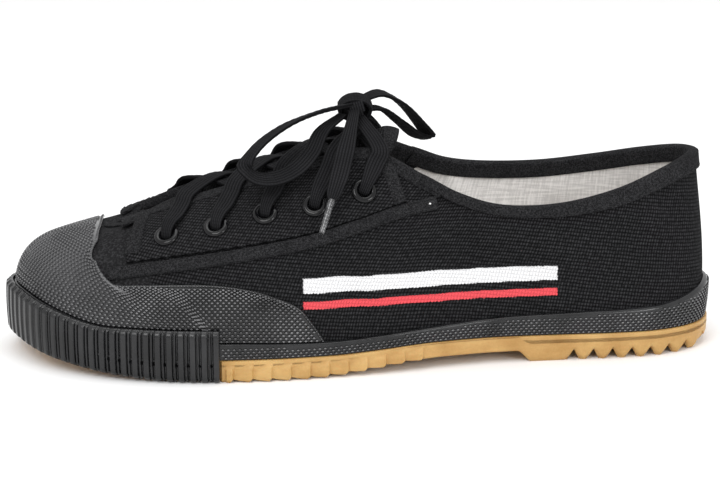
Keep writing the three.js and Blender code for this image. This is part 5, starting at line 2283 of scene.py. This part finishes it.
@dataclass
class Tongue:
    """The tongue: its sides lie under the panels, its bound end stands free over the throat."""

    last: Last
    finishes: Finishes
    first: float = 14.85
    final: float = 8.0
    sink: float = 1.5
    thick: float = 1.6
    crown: float = 0.14
    back: float = 12.0
    rounded: float = 10.0
    rise: float = 3.5
    narrower: float = 0.25
    bound: float = 6.0
    tape: float = 0.4

    def face(self, t: float, depth: float) -> Array:
        """The tongue's section at a row.

        Args:
            t: the row on the lateral side.
            depth: how far under the wall.

        Returns:
            Points from the lateral side to the medial one.
        """
        last = self.last
        shares = np.linspace(0.6, 1, 9)
        left, right = (last.offset(at, shares, -depth - self.sink) for at in (t, last.count - t))
        wide = np.linalg.norm(left[-1] - right[-1])
        lift = 2 * self.crown * wide + 2 * self.sink * min(1.0, wide / 12)
        top = (left[-1] + right[-1]) / 2 + UP * lift
        s = np.linspace(0, 1, 19)[1:-1, None]
        arc = (1 - s) ** 2 * left[-1] + 2 * s * (1 - s) * top + s**2 * right[-1]
        line = np.vstack([left, arc, right[::-1]])
        for _ in range(3):
            line[1:-1] = (line[:-2] + 2 * line[1:-1] + line[2:]) / 4
        return line

    def top(self, t: float) -> Array:
        """The middle of the tongue's upper face at a row."""
        line = self.face(t, WALL + GAP)
        return line[len(line) // 2]

    def _free(self, t: float, depth: float, share: float) -> Array:
        """A section of the tongue, moved where its end stands free.

        Args:
            t: the row.
            depth: how far under the wall.
            share: how near the free end's edge, from 0 to 1.

        Returns:
            The section's points.
        """
        line = self.face(t, depth) * [1, 1 - self.narrower * share, 1]
        middle = np.cos(np.linspace(-1, 1, len(line)) * math.pi / 2)
        line[:, 0] -= self.back * share - self.rounded * share**2 * (1 - middle**0.7)
        wave = 0.2 * math.sin(t * 5.0) * (1 - share)
        bend = np.sin(np.linspace(0, math.pi, len(line)))
        line[:, 2] += self.rise * math.sin(share * 2.3) + wave * bend
        return line

    def build(self) -> None:
        """Makes the tongue with a tape round its free end."""
        shares = np.r_[np.linspace(1, 0, 16), np.zeros(60)]
        ts = np.r_[np.full(16, self.final), np.linspace(self.final, self.first, 61)[1:]]
        outer, inner = (
            np.stack([self._free(t, depth, share) for t, share in zip(ts, shares)])
            for depth in (WALL + GAP, WALL + GAP + self.thick)
        )
        run, across = run_of(outer[:, outer.shape[1] // 2]), run_of(outer[30])
        builder = Builder()
        builder.shell(outer, inner, grid_chart(run, across))
        builder.piece("tongue_cloth", [self.finishes.canvas], "canvas", "tongue")
        count = int(np.searchsorted(run, self.bound))
        lift = unit(np.cross(np.gradient(outer, axis=1), np.gradient(outer, axis=0)))
        lift = lift * np.sign(lift[..., 2:].mean()) * self.tape
        lift = np.concatenate([lift[:1], lift[:count]])
        start = (outer[0] - (outer[1] - outer[0]) * 0.6)[None]
        high = np.concatenate([start, outer[:count]]) + lift
        low = np.concatenate([start, inner[:count]]) - lift
        hem = Builder()
        hem.shell(high, low, grid_chart(np.r_[-0.6, run[:count]], across))
        hem.piece("tongue_tape", [self.finishes.tape], "tape", "tongue")


@dataclass
class Eyelets:
    """Glossy rolled rings with barrels, each seated through its panel."""

    finishes: Finishes
    seats: list[Seat]
    around: int = 36
    profile: tuple[tuple[float, float], ...] = (
        (2.15, -2.0), (2.55, -2.0), (2.6, 0.5), (2.6, 1.62), (4.6, 1.62), (4.82, 1.78),
        (4.78, 2.1), (4.55, 2.42), (4.15, 2.66), (3.65, 2.76), (3.15, 2.7), (2.7, 2.5),
        (2.36, 2.15), (2.18, 1.6),
    )

    def build(self) -> None:
        """Makes the ten rings."""
        r, z = np.array(self.profile).T
        for seat in self.seats:
            across = seat.ring(self.around)[:, None] * r[None, :, None]
            builder = Builder()
            builder.tube(seat.at + across + seat.out * z[None, :, None], closed=True)
            label = f"{seat.side.label}_{seat.number}"
            enamel = [self.finishes.enamel]
            builder.piece(f"ring_{label}", enamel, "eyelet", f"eyelet_{label}", sharp=60)


@dataclass
class Run:
    """A stretch of flat lace: the points it passes, which way it faces, and its width."""

    points: list[Array] = field(default_factory=list)
    facings: list[Array] = field(default_factory=list)
    widths: list[float] = field(default_factory=list)

    def to(self, point: Array, facing: Array, width: float) -> None:
        """Adds a point.

        Args:
            point: where the lace's middle passes.
            facing: which way its face looks there.
            width: how wide it is there.
        """
        self.points.append(np.asarray(point, float))
        self.facings.append(np.asarray(facing, float))
        self.widths.append(width)

    def centreline(self, count: int = 400) -> Array:
        """The line that the lace's middle follows."""
        return resample(curve(np.stack(self.points), 40 * len(self.points)), count)

    def length(self) -> float:
        """The stretch's length in millimetres."""
        return float(run_of(self.centreline())[-1])


@dataclass(frozen=True)
class Lace:
    """Flat lace with four ribs on each face."""

    thick: float = 1.7
    ribs: int = 4
    rib_depth: float = 0.16
    step: float = 0.85
    half_points: int = 17
    wave: float = 0.12

    def lay(self, builder: Builder, run: Run) -> None:
        """Adds the lace along a run to a mesh.

        Args:
            builder: the mesh.
            run: where the lace goes.
        """
        dense = 60 * len(run.points)
        path, facing = (curve(np.stack(rows), dense) for rows in (run.points, run.facings))
        points = np.arange(len(run.widths))
        width = np.interp(np.linspace(0, points[-1], dense), points, run.widths)
        far = run_of(path)
        at = np.linspace(0, far[-1], max(8, int(far[-1] / self.step)))
        rows, face = at_runs(path, far, at), at_runs(facing, far, at)
        width = np.interp(at, far, width)
        along = unit(np.gradient(rows, axis=0))
        side = unit(np.cross(along, face))
        face = unit(np.cross(side, along))
        across, lift = self._section()
        ripple = self.wave * np.sin(at * 1.9)[:, None]
        ring = (rows[:, None] + side[:, None] * (across * width[:, None] / 2)[..., None]
                + face[:, None] * (lift[None] + ripple * (1 - across**2))[..., None])
        girth = np.r_[across, across[:1]] * 3.5
        girth[self.half_points:] += 9.2
        builder.tube(ring, grid_chart(at, girth))

    def _section(self) -> tuple[Array, Array]:
        """The lace's ribbed section.

        Returns:
            Shares of the half width, and heights, round it.
        """
        w = np.sin(np.linspace(-1, 1, self.half_points) * math.pi / 2)
        edge = np.maximum(0, 1 - np.abs(w) ** 5) ** 0.5
        ribbed = np.abs(np.sin(math.pi * self.ribs * (w + 1) / 2))
        height = self.thick / 2 * edge * (1 - self.rib_depth + self.rib_depth * ribbed)
        return np.r_[w, w[-2:0:-1]], np.r_[height, -height[-2:0:-1]]


@dataclass
class Lacing:
    """The crossings through the eyelets, the knot, and the bow with its ends."""

    last: Last
    finishes: Finishes
    seats: list[Seat]
    tongue: Tongue
    lace: Lace = field(default_factory=Lace)
    width: float = 7.0
    squeezed: float = 4.3
    over: float = 1.75
    under: float = -2.95  # how far out the hidden lengths lie, under the panels
    knot_x: float = 0.509
    knot_up: float = 14.5

    def seat(self, side: Side, number: int) -> Seat:
        """One of the ten seats."""
        return next(s for s in self.seats if s.side is side and s.number == number)

    def knot(self) -> Array:
        """The knot's middle."""
        last = self.last
        return np.array([self.knot_x * last.length, 1.0, last.instep_height + self.knot_up])

    def climb(self, seat: Seat) -> Run:
        """From an eyelet's bore up the panel and over the throat edge.

        Args:
            seat: the eyelet's.

        Returns:
            The stretch.
        """
        last, down = self.last, seat.down
        toward = unit(last.below_edge(seat.t, down - 4, 0) - seat.at)
        run = Run()
        for drop, out in ((0.9, -2.4), (0.4, 0.6)):
            bore = last.below_edge(seat.t, down + drop, out)
            run.to(bore, seat.out * 0.1 - toward, self.squeezed)
        rest = (
            (down - 1.2, 3.3, 4.5), (down - 4.6, 4.1, 5.6), (down - 9, 3.3, 6.9),
            (down * 0.3, 3.2, self.width), (1.0, 4.0, self.width),
        )
        for drop, out, width in rest:
            run.to(last.below_edge(seat.t, drop, out), seat.out, width)
        run.facings[2] = seat.out - toward * 0.7
        return run

    def crossing(self, start: Seat, stop: Seat, lift: float) -> Run:
        """From one eyelet across the tongue and under the other panel to the next eyelet.

        Args:
            start: where it comes up.
            stop: where it goes under.
            lift: how far over the tongue, more for the lace on top.

        Returns:
            The stretch.
        """
        last = self.last
        run = self.climb(start)
        rows = [s.t if s.side is Side.LATERAL else last.count - s.t for s in (start, stop)]
        middle = self.tongue.top(sum(rows) / 2)
        run.to(middle + UP * (1.3 + lift), UP, self.width)
        edge = self._beneath(stop, 0.5, -1.2 - self.lace.thick / 2)
        run.to(edge, UP + stop.out * 0.5, self.width)
        self._tuck(run, stop, self.width - 0.4)
        return run

    def _beneath(self, seat: Seat, down: float, out: float) -> Array:
        """A point under the wall near a seat."""
        return self.last.below_edge(seat.t, max(down, 0.01), out)

    def bar(self) -> Run:
        """The straight stretch between the first two eyelets, mostly under the panels.

        Returns:
            The stretch.
        """
        left, right = self.seat(Side.LATERAL, 1), self.seat(Side.MEDIAL, 1)
        run = Run()
        self._tuck(run, left, self.width, inward=False)
        run.to(self.tongue.top(left.t) + UP * 1.1, UP, self.width)
        self._tuck(run, right, self.width)
        return run

    def _tuck(self, run: Run, seat: Seat, width: float, inward: bool = True) -> None:
        """Adds the lace's way under a panel, between its throat edge and an eyelet.

        Args:
            run: the stretch.
            seat: the eyelet's.
            width: the lace's width near the edge.
            inward: whether the lace goes to the eyelet, and not from it.
        """
        ways = [(5.0, width), (seat.down - 2.0, 5.0)]
        for down, wide in ways if inward else reversed(ways):
            run.to(self._beneath(seat, down, self.under), seat.out, wide)

    def build(self) -> None:
        """Makes all the lace."""
        for k in range(1, len(EYELET_PLACES)):
            builder = Builder()
            pair = ((Side.LATERAL, Side.MEDIAL, self.over), (Side.MEDIAL, Side.LATERAL, 0.0))
            for start, stop, lift in pair:
                run = self.crossing(self.seat(start, k), self.seat(stop, k + 1), lift)
                self.lace.lay(builder, run)
            if k == 1:
                self.lace.lay(builder, self.bar())
            self._settle(builder, f"lace_cross_{k}", f"lace_crossing_{k}")
        self._bow(self._knot())

    def _settle(self, builder: Builder, name: str, node: str) -> Piece:
        """Makes a piece of lace."""
        return builder.piece(name, [self.finishes.lace], "lace", node, sharp=60)

    def _knot(self) -> Piece:
        """The straps that rise from the last eyelets, and the bands of the knot.

        Returns:
            The knot.
        """
        builder = Builder()
        centre = self.knot()
        for side in Side:
            run = self.climb(self.seat(side, len(EYELET_PLACES)))
            beside = np.array([-1.0, side.value * 3.0, -3.0])
            run.to(centre + beside, np.array([0, side.value, 0.6]), 5.0)
            self.lace.lay(builder, run)
        bands = (
            (0.0, 0.35, (6.0, 4.6), 6.6), (math.pi / 2, -0.25, (5.2, 3.9), 6.0),
            (0.8, 0.15, (4.6, 3.4), 5.6),
        )
        for heading, tilt, (wide, high), width in bands:
            run = Run()
            ahead = np.array([math.cos(heading), math.sin(heading), 0])
            lift = unit(UP + np.array([-ahead[1], ahead[0], 0]) * tilt)
            beside = unit(np.cross(ahead, lift))
            for angle in np.linspace(-0.35, 2 * math.pi + 0.2, 15):
                spin = ahead * math.cos(angle) * wide + lift * math.sin(angle) * high
                run.to(centre + spin + beside * 0.5 * (angle / math.pi - 1), spin, width)
            self.lace.lay(builder, run)
        return self._settle(builder, "bow_knot", "lace_knot")

    def _bow(self, knot: Piece) -> None:
        """The two loops and the two ends with their tips.

        Args:
            knot: not used.
        """
        for side in Side:
            label = side.label
            loop, tail = self._route(LOOPS[side]), self._route(ENDS[side])
            made = self._strap(f"bow_loop_{label}", loop, f"lace_loop_{label}")
            self._declare(loop)
            made = self._strap(f"bow_end_{label}", tail, f"lace_end_{label}")
            tip = self._tip(label, tail)
            self._declare(tail)

    def _route(self, rows: list[tuple[float, float, float, float, float]]) -> Run:
        """A stretch of the bow from its table.

        Args:
            rows: x, y and z from the knot, the tilt in degrees, and the width.

        Returns:
            The stretch.
        """
        run = Run()
        for x, y, z, tilt, width in rows:
            turn = math.radians(tilt)
            facing = np.array([0, -math.sin(turn), math.cos(turn)])
            run.to(self.knot() + [x, y, z], facing, width)
        return run

    def _strap(self, name: str, run: Run, node: str) -> Piece:
        """One stretch of the bow as a piece.

        Args:
            name: the piece's name.
            run: where it goes.
            node: the CAD node that it stands for.

        Returns:
            The piece.
        """
        builder = Builder()
        self.lace.lay(builder, run)
        return self._settle(builder, name, node)

    def _declare(self, run: Run) -> None:
        """Works out a stretch's length, width and route, and leaves them unused.

        Args:
            run: where it goes.
        """
        line = (run.centreline(160) - [HEEL_REST, 0, 0]) * METRE
        run.length() * METRE
        self.width * METRE

    def _tip(self, label: str, run: Run) -> Piece:
        """The clear tube crimped on an end.

        Args:
            label: the side's name.
            run: the end's stretch.

        Returns:
            The tip.
        """
        line = run.centreline()
        end, along = line[-1], unit(line[-1] - line[-8])
        side = unit(np.cross(along, UP))
        ring = circle(side, 0.88 * np.cross(side, along), 24)
        profile = (
            (-0.8, 0.9), (-0.7, 1.35), (0.0, 1.4), (3.0, 1.3), (6.5, 1.22), (10.0, 1.2),
            (12.6, 1.15), (13.2, 0.95), (13.3, 0.45),
        )
        rings = [end + along * ahead + ring * radius for ahead, radius in profile]
        builder = Builder()
        builder.tube(np.stack(rings))
        film = [self.finishes.film]
        return builder.piece(f"lace_tip_{label}", film, "aglet", f"aglet_{label}", sharp=50)


# The bow's stretches: x, y and z from the knot, the strap's tilt in degrees, and its width
LOOPS = {
    Side.LATERAL: [
        (1.5, 3, 1.5, 20, 4), (14.5, 13, 0.5, 20, 6), (28.5, 22, -3.5, 10, 7),
        (39, 28, -10.5, 0, 7), (43, 30, -17, -15, 7), (39.5, 30, -21, -30, 7),
        (32.5, 28.5, -22, -35, 7), (24.5, 25, -19.5, -35, 7), (18, 19.5, -14, -30, 7),
        (13.5, 13, -7, -20, 6), (5, 5, -2, -10, 4),
    ],
    Side.MEDIAL: [
        (-2.5, -3, 2.5, -20, 4), (-10.5, -9, 4, -20, 6), (-19.1, -16, -1, -10, 7),
        (-26.7, -23, -9.5, 0, 7), (-32, -28.5, -17.5, 15, 7), (-27, -25, -16, 15, 7),
        (-19, -18, -9, 0, 7), (-11.2, -10.5, -2.5, -10, 6), (-4.5, -4, -1, -20, 4),
    ],
}
ENDS = {
    Side.LATERAL: [
        (0.5, 5, -0.5, -30, 4), (2.5, 15, -5, -35, 5), (5, 23.5, -12, -40, 7),
        (7.9, 31, -20.5, -45, 7), (10.4, 35.5, -26.7, -48, 5.5), (11.3, 37, -29, -50, 2.6),
    ],
    Side.MEDIAL: [
        (-0.5, -6, -1.5, 30, 4), (-3.5, -16.5, -5, 35, 5), (-8, -25.5, -11.5, 40, 7),
        (-12, -33, -20, 45, 7), (-14.7, -37.3, -26.7, 48, 5.5), (-15.5, -38.5, -29, 50, 2.6),
    ],
}


@dataclass(frozen=True)
class Softbox:
    """One square light, looking at the shoe's middle; power in watts."""

    name: str
    at: tuple[float, float, float]
    size: float
    power: float


@dataclass
class Studio:
    """A pale floor, soft lights and the camera."""

    target: tuple[float, float, float] = (0.09, 0.0, 0.035)
    yaw: float = 5.0
    elevation: float = 14.5
    distance: float = 0.72
    roll: float = 0.3
    lens: float = 90.55
    sensor: float = 36.0
    shift: tuple[float, float] = (-0.0361, 0.0215)
    floor: float = 6.0
    sky: float = 1.0
    lights: tuple[Softbox, ...] = (
        Softbox("key", (0.5, 0.7, 0.85), 0.5, 4.0),
        Softbox("fill", (-0.55, 0.9, 0.45), 0.35, 3.0),
        Softbox("top", (0.1, -0.1, 1.2), 0.8, 4.0),
    )

    def build(self) -> None:
        """Makes the camera, the lights, the floor and the sky."""
        self._camera()
        for light in self.lights:
            self._light(light)
        self._floor()
        self._sky()

    def _camera(self) -> None:
        """Sets the camera on the shoe's outer side."""
        yaw, high, roll = (math.radians(a) for a in (self.yaw, self.elevation, self.roll))
        level = math.cos(high)
        back = Vector((math.sin(yaw) * level, math.cos(yaw) * level, math.sin(high)))
        right = (-back).cross(Vector(UP)).normalized()
        up = back.cross(right)
        axes = (
            right * math.cos(roll) + up * math.sin(roll),
            up * math.cos(roll) - right * math.sin(roll),
            back,
        )
        data = bpy.data.cameras.new("camera")
        data.lens = self.lens
        data.sensor_width = self.sensor
        data.shift_x, data.shift_y = self.shift
        camera = linked("camera", data)
        turn = Matrix(axes).transposed().to_4x4()
        camera.matrix_world = Matrix.Translation(Vector(self.target) + back * self.distance) @ turn
        bpy.context.scene.camera = camera

    def _light(self, light: Softbox) -> None:
        """Adds one soft light.

        Args:
            light: its place, size and power.
        """
        data = bpy.data.lights.new(light.name, "AREA")
        data.size = light.size
        data.energy = light.power
        lamp = linked(light.name, data)
        lamp.location = light.at
        aim = Vector(self.target) - Vector(light.at)
        lamp.rotation_euler = aim.to_track_quat("-Z", "Y").to_euler()

    def _floor(self) -> None:
        """Lays the pale floor."""
        half = self.floor / 2
        mesh = bpy.data.meshes.new("floor")
        corners = [(-half, -half, 0), (half, -half, 0), (half, half, 0), (-half, half, 0)]
        mesh.from_pydata(corners, [], [(0, 1, 2, 3)])
        look = {"Base_Color": (0.9, 0.9, 0.9), "Roughness": 0.7, "Specular_IOR_Level": 0.2}
        mesh.materials.append(Graph("floor").finish(**look))
        linked("floor", mesh)

    def _sky(self) -> None:
        """Lights the scene evenly from all round."""
        world = bpy.data.worlds.new("sky")
        world.use_nodes = True
        background = world.node_tree.nodes["Background"]
        background.inputs["Color"].default_value = (1.0, 1.0, 1.0, 1.0)
        background.inputs["Strength"].default_value = self.sky
        bpy.context.scene.world = world
        bpy.context.scene.view_settings.view_transform = "Standard"


def main() -> None:
    """Builds the shoe's pieces in order."""
    logging.basicConfig(level=logging.INFO, format="%(message)s")
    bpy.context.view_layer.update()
    Studio().build()
    last = Last()
    finishes = Finishes()
    seats = Seat.all_of(last)
    tongue = Tongue(last, finishes)
    Lacing(last, finishes, seats, tongue).build()
    Upper(last, finishes, seats).build()
    tongue.build()
    LacePanels(last, finishes, seats).build()
    SeamTapes(last, finishes).build()
    for binding in bindings(last, finishes):
        binding.build()
    Eyelets(finishes, seats).build()
    Foxing(last, finishes).build()
    ToeGuard(last, finishes).build()
    Bumper(last, finishes).build()
    Outsole(last, finishes).build()
    Insole(last, finishes).build()


if __name__ == "__main__":
    main()
